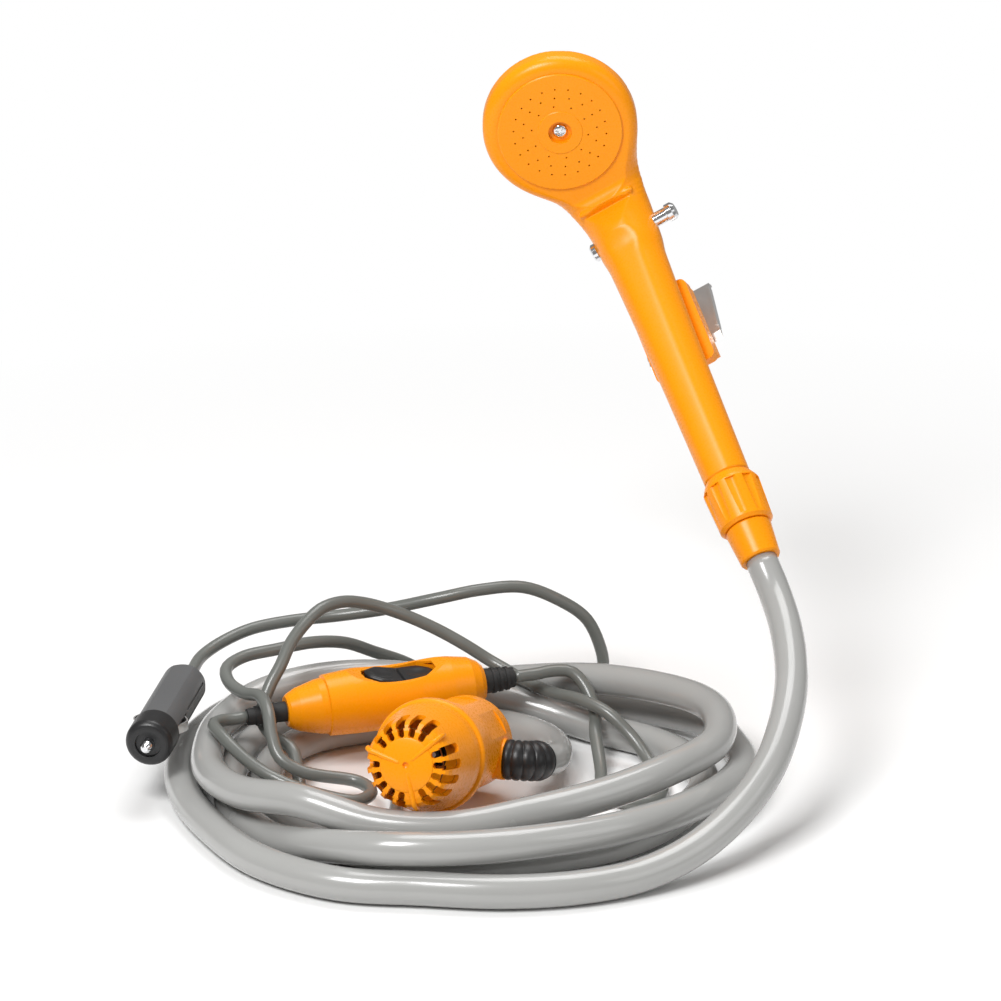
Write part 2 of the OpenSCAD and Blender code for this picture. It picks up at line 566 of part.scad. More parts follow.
module rocker() color(black) on_switch() translate([rocker_x, 0, rocker_z])
    rotate([0, rocker_throw / 2, 0]) difference() {
        intersection() {
            rotate([90, 0, 0]) translate([0, 0, -rocker_w]) linear_extrude(2 * rocker_w) polygon([
                [-rocker_len / 2 + 1.2, 6.9], [-rocker_len / 2 + 0.7, 5.4], [-rocker_len / 2 + 1.4, 1.6],
                [-3, -2.4], [3, -2.4], [rocker_len / 2 - 1.4, 1.6], [rocker_len / 2 - 0.7, 5.4],
                [rocker_len / 2 - 1.2, 6.9], [rocker_len / 4, 6.2], [1.1, 5.4], [0.5, 4.5], [-0.5, 4.5],
                [-1.1, 5.4], [-rocker_len / 4, 6.2]]);
            translate([0, 0, -10]) linear_extrude(30) rocker_plan(0);
        }
        rotate([90, 0, 0]) cylinder(r = 1.2 + run_gap, h = 40, center = true, $fn = 24);
    }
module rocker_pin() color(steel) on_switch() translate([rocker_x, 0, rocker_z]) rotate([90, 0, 0])
    cylinder(r = 1.2 - 0.01, h = 20.6, center = true, $fn = 24);
module switch_contacts() color(brass) on_switch() for (side = [-1, 1]) translate([0, side * 4, 0]) {
    translate([rocker_x - 13, -2, -switch_r + 5.3]) cube([26, 4, 0.8]);
    for (x = [-13, 11]) translate([rocker_x + x, -2, -switch_r + 5.3]) cube([2, 4, 4]);
}
module relief(big, small, len) {
    cylinder(r1 = big, r2 = small, h = len, $fn = 40);
    for (i = [0 : 2]) translate([0, 0, len * (0.28 + 0.22 * i)])
        cylinder(r = big - (big - small) * (0.22 + 0.22 * i) + 0.35, h = 1.4, $fn = 40);
}
left_relief_len = 17;
right_relief_len = 14;
module switch_relief_left() color(black) on_switch() translate([-switch_end - seat_gap, 0, 0])
    rotate([0, -90, 0]) {
    relief(4.4, 3.6, left_relief_len);
    translate([0, 0, -4]) cylinder(r = relief_hole_r - seat_gap, h = 4.2, $fn = 32);
}
module switch_relief_right() color(black) on_switch() translate([switch_end + seat_gap, 0, 0])
    rotate([0, 90, 0]) {
    relief(5.6, 4.4, right_relief_len);
    translate([0, 0, -4]) cylinder(r = relief_hole_r - seat_gap, h = 4.2, $fn = 32);
}
left_tip = switch_pos + turned(switch_turn, [-switch_end - seat_gap - left_relief_len, 0, 0]);
right_tip = switch_pos + turned(switch_turn, [switch_end + seat_gap + right_relief_len, 0, 0]);

// Plug: Z runs from the cable to the sprung tip
ring_len = 14;
plug_body_end = plug_len - ring_len;
fuse_r = 3.1;
fuse_len = 29.7;
tip_r = 3.4;
nose_r = 2.7;
lip_z = plug_len - 2.1;
fuse_z = lip_z - 2 - 2 * seat_gap - fuse_len;
module plug_solid() difference() {
    intersection() {
        union() {
            translate([0, 0, 9]) cylinder(r = plug_r - 0.5, h = plug_body_end - 9, $fn = 72);
            translate([0, 0, 1.5]) cylinder(r1 = 5.6, r2 = plug_r - 0.5, h = 7.5, $fn = 72);
        }
        translate([-9.4, -8.6, 0]) cube([18.8, 17.2, plug_len]);
    }
    // Two grip grooves along each side
    for (side = [-1, 1], y = [-2.6, 2.6]) translate([side * 9.6, y, 12]) translate([-0.7, -0.6, 0])
        cube([1.4, 1.2, 30]);
    translate([0, 0, fuse_z - tip_travel - 0.5]) cylinder(r = fuse_r + 0.3, h = 60, $fn = 40);
    translate([0, 0, plug_body_end - 28]) cylinder(r = 2.9, h = 10, $fn = 32);
    cylinder(r = 3.2, h = 8, $fn = 32);
    // Side windows for the spring contacts
    for (side = [-1, 1]) translate([side * 8.2 - 2.6, -2.4, plug_body_end - 17]) cube([5.2, 4.8, 15]);
}
module plug_upper_half() color(cable_grey) on_plug() difference() {
    intersection() {
        plug_solid();
        translate([-20, seat_gap, -5]) cube([40, 20, 120]);
    }
}
module plug_lower_half() color(cable_grey) on_plug() difference() {
    intersection() {
        plug_solid();
        translate([-20, -20, -5]) cube([40, 20, 120]);
    }
    translate([0, -20, 20]) rotate([-90, 0, 0]) cylinder(r = 2.4, h = 13.6, $fn = 24);
}
module plug_screw() color(steel) on_plug() translate([0, -8.4, 20]) rotate([-90, 0, 0])
    cylinder(r = 2.2, h = 1.95, $fn = 24);
module plug_ring() color(black) on_plug() difference() {
    rotate_extrude($fn = 72) polygon(concat(
        [[0, plug_body_end + seat_gap], [plug_r, plug_body_end + seat_gap]],
        arc(plug_r - 3.2, plug_len - 3.2, 3.2, 0, 90, 6),
        [[5.6, plug_len], [5.4, lip_z + 1], [0, lip_z + 1]]));
    translate([0, 0, plug_body_end - 1]) cylinder(r = tip_r + run_gap, h = lip_z - plug_body_end + 1, $fn = 40);
    translate([0, 0, plug_body_end]) cylinder(r = nose_r + run_gap, h = 20, $fn = 40);
}
module plug_fuse() color([0.85, 0.87, 0.85]) on_plug() translate([0, 0, fuse_z])
    cylinder(r = fuse_r, h = fuse_len, $fn = 40);
module plug_tip() color(steel) on_plug() translate([0, 0, lip_z - seat_gap])
    rotate_extrude($fn = 40) polygon([[0, -2], [tip_r, -2], [tip_r, 0], [nose_r, 0], [nose_r, 4.4],
        [nose_r - 0.6, 6], [1.1, 7], [0, 7.2]]);
function coil(r, pitch, turns, steps) = [for (i = [0 : turns * steps])
    [r * cos(360 * i / steps), r * sin(360 * i / steps), pitch * i / steps]];
module tip_spring() color(steel) on_plug() translate([0, 0, plug_body_end - 27.4])
    sweep(coil(2.2, 1.1, 4, 12), 0.35, 6);
module side_contacts() color(steel) on_plug() for (side = [-1, 1]) mirror([side < 0 ? 1 : 0, 0, 0])
    rotate([90, 0, 0]) translate([0, 0, -2]) linear_extrude(4) polygon([
        [5.7, plug_body_end - 16], [8.6, plug_body_end - 16], [11.4, plug_body_end - 11.5],
        [11.9, plug_body_end - 9.5], [11.4, plug_body_end - 7.5], [8.6, plug_body_end - 3],
        [5.7, plug_body_end - 3], [5.7, plug_body_end - 3.6], [8.2, plug_body_end - 3.6],
        [10.8, plug_body_end - 7.8], [11.2, plug_body_end - 9.5], [10.8, plug_body_end - 11.2],
        [8.2, plug_body_end - 15.4], [5.7, plug_body_end - 15.4]]);
grommet_len = 5;
module plug_grommet() color(black) on_plug() {
    translate([0, 0, 1]) cylinder(r = 3.2 - seat_gap, h = 6, $fn = 32);
    translate([0, 0, 1.5 - grommet_len]) cylinder(r1 = 3.4, r2 = 4.6, h = grommet_len - seat_gap, $fn = 32);
}
plug_tail = plug_pos + turned(plug_turn, [0, 0, 1.5 - grommet_len]);

// A round tube swept along a list of points: each ring's frame is carried on from the last
function unit(v) = v / norm(v);
function tangent(p, i) = let (n = len(p) - 1)
    i == 0 ? unit(p[1] - p[0]) : i == n ? unit(p[n] - p[n - 1])
    : unit(unit(p[i + 1] - p[i]) + unit(p[i] - p[i - 1]));
function across(t, v) = unit(v - (v * t) * t);
function side_vectors(p) = [for (i = 0, s = across(tangent(p, 0), [0.3, 0.2, 1]); i < len(p);
    i = i + 1, s = i < len(p) ? across(tangent(p, i), s) : s) s];
module sweep(p, r, sides) {
    side = side_vectors(p);
    n = len(p);
    rings = [for (i = [0 : n - 1]) let (t = tangent(p, i), u = side[i], w = cross(t, u))
        for (k = [0 : sides - 1]) p[i] + r * (cos(360 * k / sides) * u + sin(360 * k / sides) * w)];
    walls = [for (i = [0 : n - 2], k = [0 : sides - 1])
        let (a = i * sides + k, b = i * sides + (k + 1) % sides)
        each [[a, a + sides, b], [b, a + sides, b + sides]]];
    first = [for (k = [0 : sides - 1]) k];
    last = [for (k = [sides - 1 : -1 : 0]) (n - 1) * sides + k];
    polyhedron(points = rings, faces = concat(walls, [first, last]));
}
// Route of the hose, from the ferrule down to the floor, round the coil and into the elbow
hose_start = handset_pos + turned(handset_turn, [0, 0, ferrule_end - seat_gap]);
hose_lead = handset_pos + turned(handset_turn, [0, 0, ferrule_end - 16]);
elbow_tip = [elbow_start + elbow_r * sin(elbow_angle), outlet_y,
    outlet_z - elbow_r + elbow_r * cos(elbow_angle)];
elbow_way = [cos(elbow_angle), 0, -sin(elbow_angle)];
hose_end = pump_pos + turned(pump_turn, elbow_tip + seat_gap * elbow_way);
hose_tail_lead = pump_pos + turned(pump_turn, elbow_tip + 12 * elbow_way);
hose_route = [
    [130, 14, 69], [131, -8, 57], [127, -30, 45], [119, -50, 33], [106, -67, 22], [88, -84, 13],
    [66, -98, 8], [40, -108, 7.1], [10, -112, 7.1], [-22, -109, 7.1], [-57, -104, 7.1], [-89, -83, 7.1],
    [-111, -49, 7.1], [-124, -16, 7.1], [-128, 17, 7.1], [-123, 45, 7.1], [-110, 72, 7.1], [-88, 94, 7.1],
    [-56, 107, 7.1], [-20, 108, 7.1], [18, 99, 7.1], [54, 84, 7.5], [84, 67, 9], [101, 48, 12],
    [108, 26, 13], [112, 2, 13.5], [103, -29, 16], [83, -57, 18], [54, -81, 20], [22, -96, 21.5],
    [-8, -102, 21.5], [-38, -100, 20.5], [-63, -85, 15], [-85, -62, 7.5], [-102, -32, 7.1], [-106, 0, 7.1],
    [-102, 28, 7.1], [-92, 51, 7.1], [-74, 71, 7.5], [-46, 85, 9], [-13, 89, 12], [19, 83, 18],
    [49, 69, 24.5], [77, 52, 27.5], [95, 34, 29], [102, 13, 30], [99, -14, 29.5], [79, -42, 30],
    [53, -62, 28], [22, -76, 25.5], [-10, -83, 22], [-41, -81, 22.5], [-73, -70, 28], [-98, -50, 23],
    [-113, -20, 19.5], [-115, 12, 18.5], [-111, 37, 18], [-96, 59, 21], [-70, 73, 23], [-38, 78, 22],
    [-7, 73, 18.5], [23, 68, 11.5], [51, 54, 7.5], [77, 37, 7.1], [91, 17, 7.1], [95, -10, 7.1],
    [81, -41, 7.1], [60, -64, 7.1], [30, -78, 7.1], [-2, -84, 7.1], [-34, -80, 7.1], [-62, -65, 7.1],
    [-80, -39, 7.1], [-90, -5, 7.1], [-87, 22, 7.1], [-73, 43, 7.1], [-47, 56, 7.1], [-8, 61.5, 7.1],
    [13, 56, 7.1], [26, 44.5, 7.8], [32, 29, 10]];
module water_hose() color(hose_grey) translate(coil_centre)
    sweep(concat([hose_start, hose_lead], hose_route, [hose_tail_lead, hose_end]), hose_r, 10);

// Supply cable, from the plug over the back of the coil, through the middle and to the switch
supply_start = plug_pos + turned(plug_turn, [0, 0, 1.5 - grommet_len - seat_gap]);
supply_lead = plug_pos + turned(plug_turn, [0, 0, -9]);
supply_end = switch_pos + turned(switch_turn, [-switch_end - 2 * seat_gap - left_relief_len, 0, 0]);
supply_end_lead = switch_pos + turned(switch_turn, [-switch_end - 5 - left_relief_len, 0, 0]);
supply_route = [
    [-123, 78, 31], [-115, 90, 33], [-102, 99, 36], [-84, 104, 38], [-65, 107, 39], [-43, 105, 43],
    [-18, 101, 50],
    [0, 102, 53.5], [19, 104, 54], [35, 105, 47.5], [47, 106, 38.5], [53, 106, 26.5], [55, 105, 16],
    [52, 105, 8], [44, 108, 3], [30, 113, 3], [12, 118, 3], [-8, 121, 3], [-24, 122, 6], [-36, 116, 14],
    [-47, 106, 22], [-60, 95, 31], [-74, 83, 36], [-90, 72, 37], [-103, 64, 37], [-110, 53, 36],
    [-108, 41, 34], [-101, 32, 33], [-94, 24, 35], [-90, 12, 33], [-88, 2, 26], [-84, -6, 19],
    [-74, -9, 14], [-52, -8, 9.5], [-46, -15, 9], [-46, -23, 9.5], [-52, -31, 10.5], [-73, -30, 15],
    [-84, -26, 18], [-94, -19, 21], [-102, -10, 24], [-109, -1, 27.5], [-113, 8, 28.5], [-110, 15, 27.5]];
module supply_cable() color(cable_grey) translate(coil_centre)
    sweep(concat([supply_start, supply_lead], supply_route, [supply_end_lead, supply_end]), cable_r, 8);

// Pump cable, from the switch round the pump, over the switch in a loop and to the gland
pump_cable_start = switch_pos + turned(switch_turn, [switch_end + 2 * seat_gap + right_relief_len, 0, 0]);
pump_cable_lead = switch_pos + turned(switch_turn, [switch_end + 5 + right_relief_len, 0, 0]);
pump_cable_end = pump_pos + turned(pump_turn, [0, 5, -14 - seat_gap]);
pump_cable_end_lead = pump_pos + turned(pump_turn, [0, 5, -18]);
pump_route = [
    [24, 58, 31.2], [32, 60.5, 31.8], [40, 61, 31], [46, 56.5, 26], [50, 48, 18], [50, 36, 13], [51, 25, 9],
    [52, 13, 5], [52, 2, 3.2], [54, -8, 3], [60, -15, 3], [68, -16.5, 3], [75, -12, 3], [78, -2, 3],
    [77, 9, 3], [73, 20, 6],
    [66, 30, 13], [55, 38, 21.5], [43, 48, 23.5], [32, 60, 21.5], [20, 71, 22.5], [10, 79, 25.5],
    [4, 82, 28], [-6, 84, 34], [-18, 87, 40], [-31, 88, 46], [-42, 86, 51], [-51, 82, 55], [-60, 76, 58],
    [-69, 68, 58], [-76, 60, 54], [-82, 52, 48], [-86, 44, 41], [-91, 37, 33], [-94, 30, 23],
    [-90, 22, 18.5], [-80, 12, 15.5], [-77, 2, 8], [-75, -9, 4], [-70, -22, 3], [-64, -35, 3],
    [-55, -45, 3], [-44, -44, 3], [-37, -36, 3], [-35, -22, 3], [-35, -8, 3], [-36, 6, 3], [-34, 20, 3],
    [-27, 32, 4], [-15, 42, 6.5], [-5, 42, 12]];
module pump_cable() color(cable_grey) translate(coil_centre)
    sweep(concat([pump_cable_start, pump_cable_lead], pump_route,
        [pump_cable_end_lead, pump_cable_end]), cable_r, 8);

handset_body();
spray_plate();
spray_seal();
plate_screw();
valve_pin();
valve_o_rings();
hanger_bracket();
hanger_clip();
clip_screws();
coupling_nut();
hose_washer();
hose_tail();
hose_ferrule();
water_hose();
pump_housing();
pump_rear_cap();
pump_collar();
strainer_cage();
impeller();
motor_can();
motor_shaft();
shaft_seal();
outlet_elbow();
cable_gland();
cap_screws();
switch_top();
switch_base();
rocker();
rocker_pin();
switch_contacts();
switch_relief_left();
switch_relief_right();
switch_screws();
plug_upper_half();
plug_lower_half();
plug_ring();
plug_tip();
tip_spring();
plug_fuse();
side_contacts();
plug_grommet();
plug_screw();
supply_cable();
pump_cable();
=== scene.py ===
"""Looks of a portable shower and washer set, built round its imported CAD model.

Sizes are in millimetres, as in the part's source, and MM turns them into metres. Places are
measured from the middle of the hose coil, as in the source, and COIL_CENTRE moves them into
the model's frame. Only the floor, the lamps and the camera's clip are given in metres.
"""

import json
import logging
import math
from dataclasses import dataclass, field
from enum import Enum

import bpy
import numpy as np
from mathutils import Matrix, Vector


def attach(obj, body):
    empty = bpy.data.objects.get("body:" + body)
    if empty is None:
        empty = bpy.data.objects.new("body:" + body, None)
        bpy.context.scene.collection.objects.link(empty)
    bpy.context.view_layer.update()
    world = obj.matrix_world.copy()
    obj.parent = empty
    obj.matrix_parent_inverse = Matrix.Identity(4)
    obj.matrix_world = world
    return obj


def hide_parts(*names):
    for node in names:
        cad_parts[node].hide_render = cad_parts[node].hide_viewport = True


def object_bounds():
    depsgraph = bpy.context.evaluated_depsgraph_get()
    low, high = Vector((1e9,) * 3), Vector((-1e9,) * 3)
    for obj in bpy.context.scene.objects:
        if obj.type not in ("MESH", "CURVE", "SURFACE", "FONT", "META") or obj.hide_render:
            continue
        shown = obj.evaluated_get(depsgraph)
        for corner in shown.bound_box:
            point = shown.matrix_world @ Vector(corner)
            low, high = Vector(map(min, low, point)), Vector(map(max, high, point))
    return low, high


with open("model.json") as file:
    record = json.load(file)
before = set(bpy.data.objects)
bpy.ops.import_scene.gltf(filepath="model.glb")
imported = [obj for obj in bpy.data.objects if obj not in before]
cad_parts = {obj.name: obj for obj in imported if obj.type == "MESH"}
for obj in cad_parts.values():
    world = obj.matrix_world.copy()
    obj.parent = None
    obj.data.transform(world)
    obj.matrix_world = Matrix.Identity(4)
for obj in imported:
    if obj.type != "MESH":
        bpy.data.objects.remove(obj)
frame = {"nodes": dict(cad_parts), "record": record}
CAD_BOX = [list(corner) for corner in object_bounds()]
LOG = logging.getLogger("washer_set")
MM = 0.001
COIL_CENTRE = np.array([-41.8, -50.9, 0.0])
Triple = tuple[float, float, float]
Tree, Node, Socket = bpy.types.NodeTree, bpy.types.Node, bpy.types.NodeSocket


class Stiffness(Enum):
    LIMP = "limp"
    MEDIUM = "medium"


class Lay(Enum):
    LOOSE = "loose"
    COILED = "coiled"


def turn_matrix(turn: Triple) -> np.ndarray:
    """Rotation about X, then Y, then Z.

    Args:
        turn: The three angles in degrees.

    Returns:
        The 3 x 3 matrix.
    """
    a, b, c = np.radians(turn)
    about_x = np.array([[1, 0, 0], [0, np.cos(a), -np.sin(a)], [0, np.sin(a), np.cos(a)]])
    about_y = np.array([[np.cos(b), 0, np.sin(b)], [0, 1, 0], [-np.sin(b), 0, np.cos(b)]])
    about_z = np.array([[np.cos(c), -np.sin(c), 0], [np.sin(c), np.cos(c), 0], [0, 0, 1]])
    return about_z @ about_y @ about_x


@dataclass(frozen=True)
class Place:
    """Where a unit of the set lies: a position and a turn, as in the part's source."""

    position: Triple
    turn: Triple

    def put(self, local: np.ndarray) -> np.ndarray:
        """Moves local points in millimetres into the model's frame in metres.

        Args:
            local: An array whose last axis holds x, y and z.

        Returns:
            The points in the model's frame.
        """
        turned = np.asarray(local, float) @ turn_matrix(self.turn).T
        return (turned + np.array(self.position) + COIL_CENTRE) * MM


HANDSET = Place((107.3, 73.7, 115.8), (-42, -31, -5))
PUMP = Place((-4.7, 10.7, 19.7), (73.3, 0, -15.5))
SWITCH = Place((-41, 38, 29), (0, -2, 17))
PLUG = Place((-127, 58, 30), (90, 0, -9))
GROUND = Place((0, 0, 0), (0, 0, 0))


# Surfaces

def grid_mesh(name: str, points: np.ndarray, close_u: bool = True,
              cap_ends: bool = True) -> bpy.types.Object:
    """Makes a piece from a grid of points.

    Args:
        name: The piece's name.
        points: Array of shape (rows, columns, 3), in metres.
        close_u: Joins the last column to the first.
        cap_ends: Closes the first and the last row with a face each.

    Returns:
        The new object, smooth shaded.
    """
    rows, cols = points.shape[:2]
    index = np.arange(rows * cols).reshape(rows, cols)
    right = np.roll(index, -1, axis=1) if close_u else index[:, 1:]
    left = index if close_u else index[:, :-1]
    quads = np.stack([left[:-1], right[:-1], right[1:], left[1:]], axis=-1).reshape(-1, 4)
    faces = quads.tolist()
    if cap_ends:
        faces += [index[0, ::-1].tolist(), index[-1].tolist()]
    mesh = bpy.data.meshes.new(name)
    mesh.from_pydata(points.reshape(-1, 3).tolist(), [], faces)
    mesh.polygons.foreach_set("use_smooth", np.ones(len(mesh.polygons), bool))
    mesh.update()
    piece = bpy.data.objects.new(name, mesh)
    bpy.context.scene.collection.objects.link(piece)
    return piece


def inside_box(points: np.ndarray) -> np.ndarray:
    """Keeps points within the box of the CAD model.

    Args:
        points: Points in metres, in the model's frame.

    Returns:
        The points, each coordinate held between the box's two corners.
    """
    return np.clip(points, np.array(CAD_BOX[0]), np.array(CAD_BOX[1]))


def carried_frames(path: np.ndarray) -> tuple[np.ndarray, np.ndarray]:
    """Two unit vectors across a path at each point, each carried on from the last.

    Args:
        path: Array of shape (n, 3).

    Returns:
        The two arrays of unit vectors, square to the path and to each other.
    """
    ahead = np.gradient(path, axis=0)
    ahead /= np.linalg.norm(ahead, axis=1)[:, None]
    side = np.zeros_like(path)
    last = np.array([0.3, 0.2, 1.0])
    for i, way in enumerate(ahead):
        last = last - (last @ way) * way
        last /= np.linalg.norm(last)
        side[i] = last
    return side, np.cross(ahead, side)


def full_turn(count: int) -> np.ndarray:
    """Angles of points spaced evenly round a circle, in radians."""
    return np.linspace(0, 2 * np.pi, count, endpoint=False)


def tube_points(path: np.ndarray, radius: np.ndarray, sides: int) -> np.ndarray:
    """Grid of a round tube: at each point of the path a circle of that radius, square to it.

    Args:
        path: Array of shape (n, 3).
        radius: One radius for each point.
        sides: Number of points round the tube.

    Returns:
        Array of shape (n, sides, 3), in the path's unit.
    """
    side, up = carried_frames(path)
    angle = full_turn(sides)
    ring = side[:, None] * np.cos(angle)[None, :, None] + up[:, None] * np.sin(angle)[None, :, None]
    return path[:, None] + ring * np.asarray(radius)[:, None, None]


def path_length(path: np.ndarray) -> float:
    """Length of a path of points."""
    return float(np.linalg.norm(np.diff(path, axis=0), axis=1).sum())


def smooth_path(points: np.ndarray, spacing: float, finer: int = 24) -> np.ndarray:
    """Curve through the points: a centripetal cubic through each four neighbours, evenly spaced.

    Args:
        points: Array of shape (n, 3).
        spacing: Distance between two points of the result.
        finer: Points worked out between two neighbours before the even spacing.

    Returns:
        The curve's points, from the first given point to the last.
    """
    before = 2 * points[0] - points[1]
    after = 2 * points[-1] - points[-2]
    p = np.vstack([before, points, after])
    steps = np.sqrt(np.linalg.norm(np.diff(p, axis=0), axis=1))
    knots = np.concatenate([[0], np.cumsum(steps)])
    share = np.linspace(0, 1, finer, endpoint=False)[:, None]
    pieces = []
    for i in range(1, len(p) - 2):
        t0, t1, t2, t3 = knots[i - 1:i + 3]
        t = t1 + (t2 - t1) * share
        a1 = (t1 - t) / (t1 - t0) * p[i - 1] + (t - t0) / (t1 - t0) * p[i]
        a2 = (t2 - t) / (t2 - t1) * p[i] + (t - t1) / (t2 - t1) * p[i + 1]
        a3 = (t3 - t) / (t3 - t2) * p[i + 1] + (t - t2) / (t3 - t2) * p[i + 2]
        b1 = (t2 - t) / (t2 - t0) * a1 + (t - t0) / (t2 - t0) * a2
        b2 = (t3 - t) / (t3 - t1) * a2 + (t - t1) / (t3 - t1) * a3
        pieces.append((t2 - t) / (t2 - t1) * b1 + (t - t1) / (t2 - t1) * b2)
    curve = np.vstack(pieces + [points[-1:]])
    along = np.concatenate([[0], np.cumsum(np.linalg.norm(np.diff(curve, axis=0), axis=1))])
    even = np.linspace(0, along[-1], max(2, int(along[-1] / spacing)))
    return np.stack([np.interp(even, along, curve[:, k]) for k in range(3)], axis=1)


def smooth_min(a: np.ndarray, b: np.ndarray, reach: float) -> np.ndarray:
    """Lesser of two distances, blended by a quadratic where they differ by less than reach."""
    share = np.maximum(reach - np.abs(a - b), 0) / reach
    return np.minimum(a, b) - share * share * reach / 4


def smooth_max(a: np.ndarray, b: np.ndarray, reach: float) -> np.ndarray:
    """Greater of two distances, blended as in smooth_min."""
    return -smooth_min(-a, -b, reach)


def ease(share: np.ndarray) -> np.ndarray:
    """Cubic step: 0 up to a share of 0, 1 from a share of 1 on, level at both ends."""
    held = np.clip(share, 0, 1)
    return held * held * (3 - 2 * held)


# Node helpers

WHITE = (1.0, 1.0, 1.0, 1.0)
# Sockets of a Mix node for colours, by number, as their names repeat.
MIX_SHARE, MIX_FIRST, MIX_SECOND, MIX_RESULT = 0, 6, 7, 2


def fill_inputs(tree: Tree, node: Node, inputs: dict[str | int, object]) -> None:
    """Fills a node's inputs: a socket is linked, and any other value is set.

    Args:
        tree: The node tree.
        node: The node.
        inputs: What goes into each input, by the input's name or number.
    """
    for key, value in inputs.items():
        if isinstance(value, Socket):
            tree.links.new(value, node.inputs[key])
        else:
            node.inputs[key].default_value = value


def add_node(tree: Tree, kind: str, inputs: dict[str | int, object],
             **settings: str) -> Node:
    """Adds a node, gives it its settings and fills its inputs.

    Args:
        tree: The node tree.
        kind: The node's type.
        inputs: What goes into each input, by the input's name or number.
        settings: The node's own options, such as its operation.

    Returns:
        The new node.
    """
    node = tree.nodes.new(kind)
    for option, value in settings.items():
        setattr(node, option, value)
    fill_inputs(tree, node, inputs)
    return node


def arithmetic(tree: Tree, operation: str, first: Socket,
               second: Socket | float) -> Socket:
    """Adds one arithmetic node.

    Args:
        tree: The node tree.
        operation: The node's operation.
        first: Its first operand.
        second: Its second operand, a socket or a number.

    Returns:
        The result's socket.
    """
    return add_node(tree, "ShaderNodeMath", {0: first, 1: second}, operation=operation).outputs["Value"]


def new_material(name: str) -> tuple[bpy.types.Material, Tree, Node]:
    """Makes an empty node material.

    Args:
        name: The material's name.

    Returns:
        The material, its node tree and its Principled shader node.
    """
    material = bpy.data.materials.new(name)
    material.use_nodes = True
    tree = material.node_tree
    return material, tree, tree.nodes["Principled BSDF"]


# Finishes

@dataclass(frozen=True)
class Finish:
    """A moulded or drawn surface: a broad noise mixes two close tones.

    A fine noise moves the roughness up and down by its spread and drives the bump.
    """

    name: str
    tone: Triple
    shade: Triple
    roughness: float = 0.4
    metallic: float = 0.0
    specular: float = 0.5
    coat: float = 0.0
    coat_roughness: float = 0.12
    cloud: float = 18.0
    cloud_detail: float = 3.0
    cloud_range: tuple[float, float] = (0.3, 0.7)
    grain: float = 400.0
    grain_detail: float = 2.0
    stretch: Triple = (1.0, 1.0, 1.0)
    spread: float = 0.06
    least_roughness: float = 0.02
    bump: float = 0.04
    bump_depth: float = 0.4

    def build(self) -> bpy.types.Material:
        """Builds the node material.

        Returns:
            The material.
        """
        material, tree, shader = new_material(self.name)
        place = add_node(tree, "ShaderNodeTexCoord", {})
        mapping = add_node(tree, "ShaderNodeMapping",
                           {"Vector": place.outputs["Object"], "Scale": self.stretch})
        vector = mapping.outputs["Vector"]
        cloud = add_node(tree, "ShaderNodeTexNoise",
                         {"Vector": vector, "Scale": self.cloud, "Detail": self.cloud_detail})
        ramp = add_node(tree, "ShaderNodeValToRGB", {"Fac": cloud.outputs["Fac"]})
        low, high = ramp.color_ramp.elements
        low.position, high.position = self.cloud_range
        low.color, high.color = (*self.shade, 1.0), (*self.tone, 1.0)
        fine = add_node(tree, "ShaderNodeTexNoise",
                        {"Vector": vector, "Scale": self.grain, "Detail": self.grain_detail})
        rough = add_node(tree, "ShaderNodeMapRange", {
            "Value": fine.outputs["Fac"],
            "To Min": max(self.least_roughness, self.roughness - self.spread),
            "To Max": self.roughness + self.spread})
        bump = add_node(tree, "ShaderNodeBump", {
            "Height": fine.outputs["Fac"], "Strength": self.bump, "Distance": self.bump_depth * MM})
        fill_inputs(tree, shader, {
            "Base Color": ramp.outputs["Color"], "Metallic": self.metallic,
            "Roughness": rough.outputs["Result"], "Specular IOR Level": self.specular,
            "Coat Weight": self.coat, "Coat Roughness": self.coat_roughness,
            "Normal": bump.outputs["Normal"]})
        return material


AMBER = Finish("amber_plastic", (1.0, 0.335, 0.002), (0.98, 0.318, 0.002), 0.28, specular=0.26,
               grain=900, bump=0.004)
HOSE_GREY = Finish("hose_pvc", (0.4, 0.4, 0.39), (0.37, 0.37, 0.36), 0.24, coat=0.6, grain=60, bump=0.01)
CABLE_GREY = Finish("cable_pvc", (0.165, 0.172, 0.16), (0.14, 0.147, 0.135), 0.34, coat=0.3,
                    grain=700, bump=0.03)
PLUG_GREY = Finish("grey_plastic", (0.125, 0.127, 0.13), (0.1, 0.102, 0.105), 0.42,
                   grain=1200, bump=0.08)
BLACK_PLASTIC = Finish("black_plastic", (0.018, 0.018, 0.019), (0.012, 0.012, 0.013), 0.38,
                       grain=1500, bump=0.08)
BLACK_RUBBER = Finish("black_rubber", (0.022, 0.022, 0.022), (0.014, 0.014, 0.014), 0.62,
                      grain=900, bump=0.12)
STEEL = Finish("steel", (0.84, 0.83, 0.82), (0.74, 0.73, 0.72), 0.36, metallic=1.0,
               grain=500, bump=0.05, stretch=(1, 1, 12))
CHROME = Finish("chrome", (0.82, 0.83, 0.85), (0.78, 0.79, 0.81), 0.12, metallic=1.0,
                grain=300, bump=0.01)
BRASS = Finish("brass", (0.72, 0.52, 0.2), (0.66, 0.46, 0.17), 0.28, metallic=1.0,
               grain=500, bump=0.03)
FUSE = Finish("fuse_glass", (0.75, 0.78, 0.77), (0.7, 0.74, 0.73), 0.15, coat=0.4,
              grain=300, bump=0.0)
FINISHES = {finish.name: finish for finish in (
    AMBER, HOSE_GREY, CABLE_GREY, PLUG_GREY, BLACK_PLASTIC, BLACK_RUBBER, STEEL, CHROME, BRASS, FUSE)}


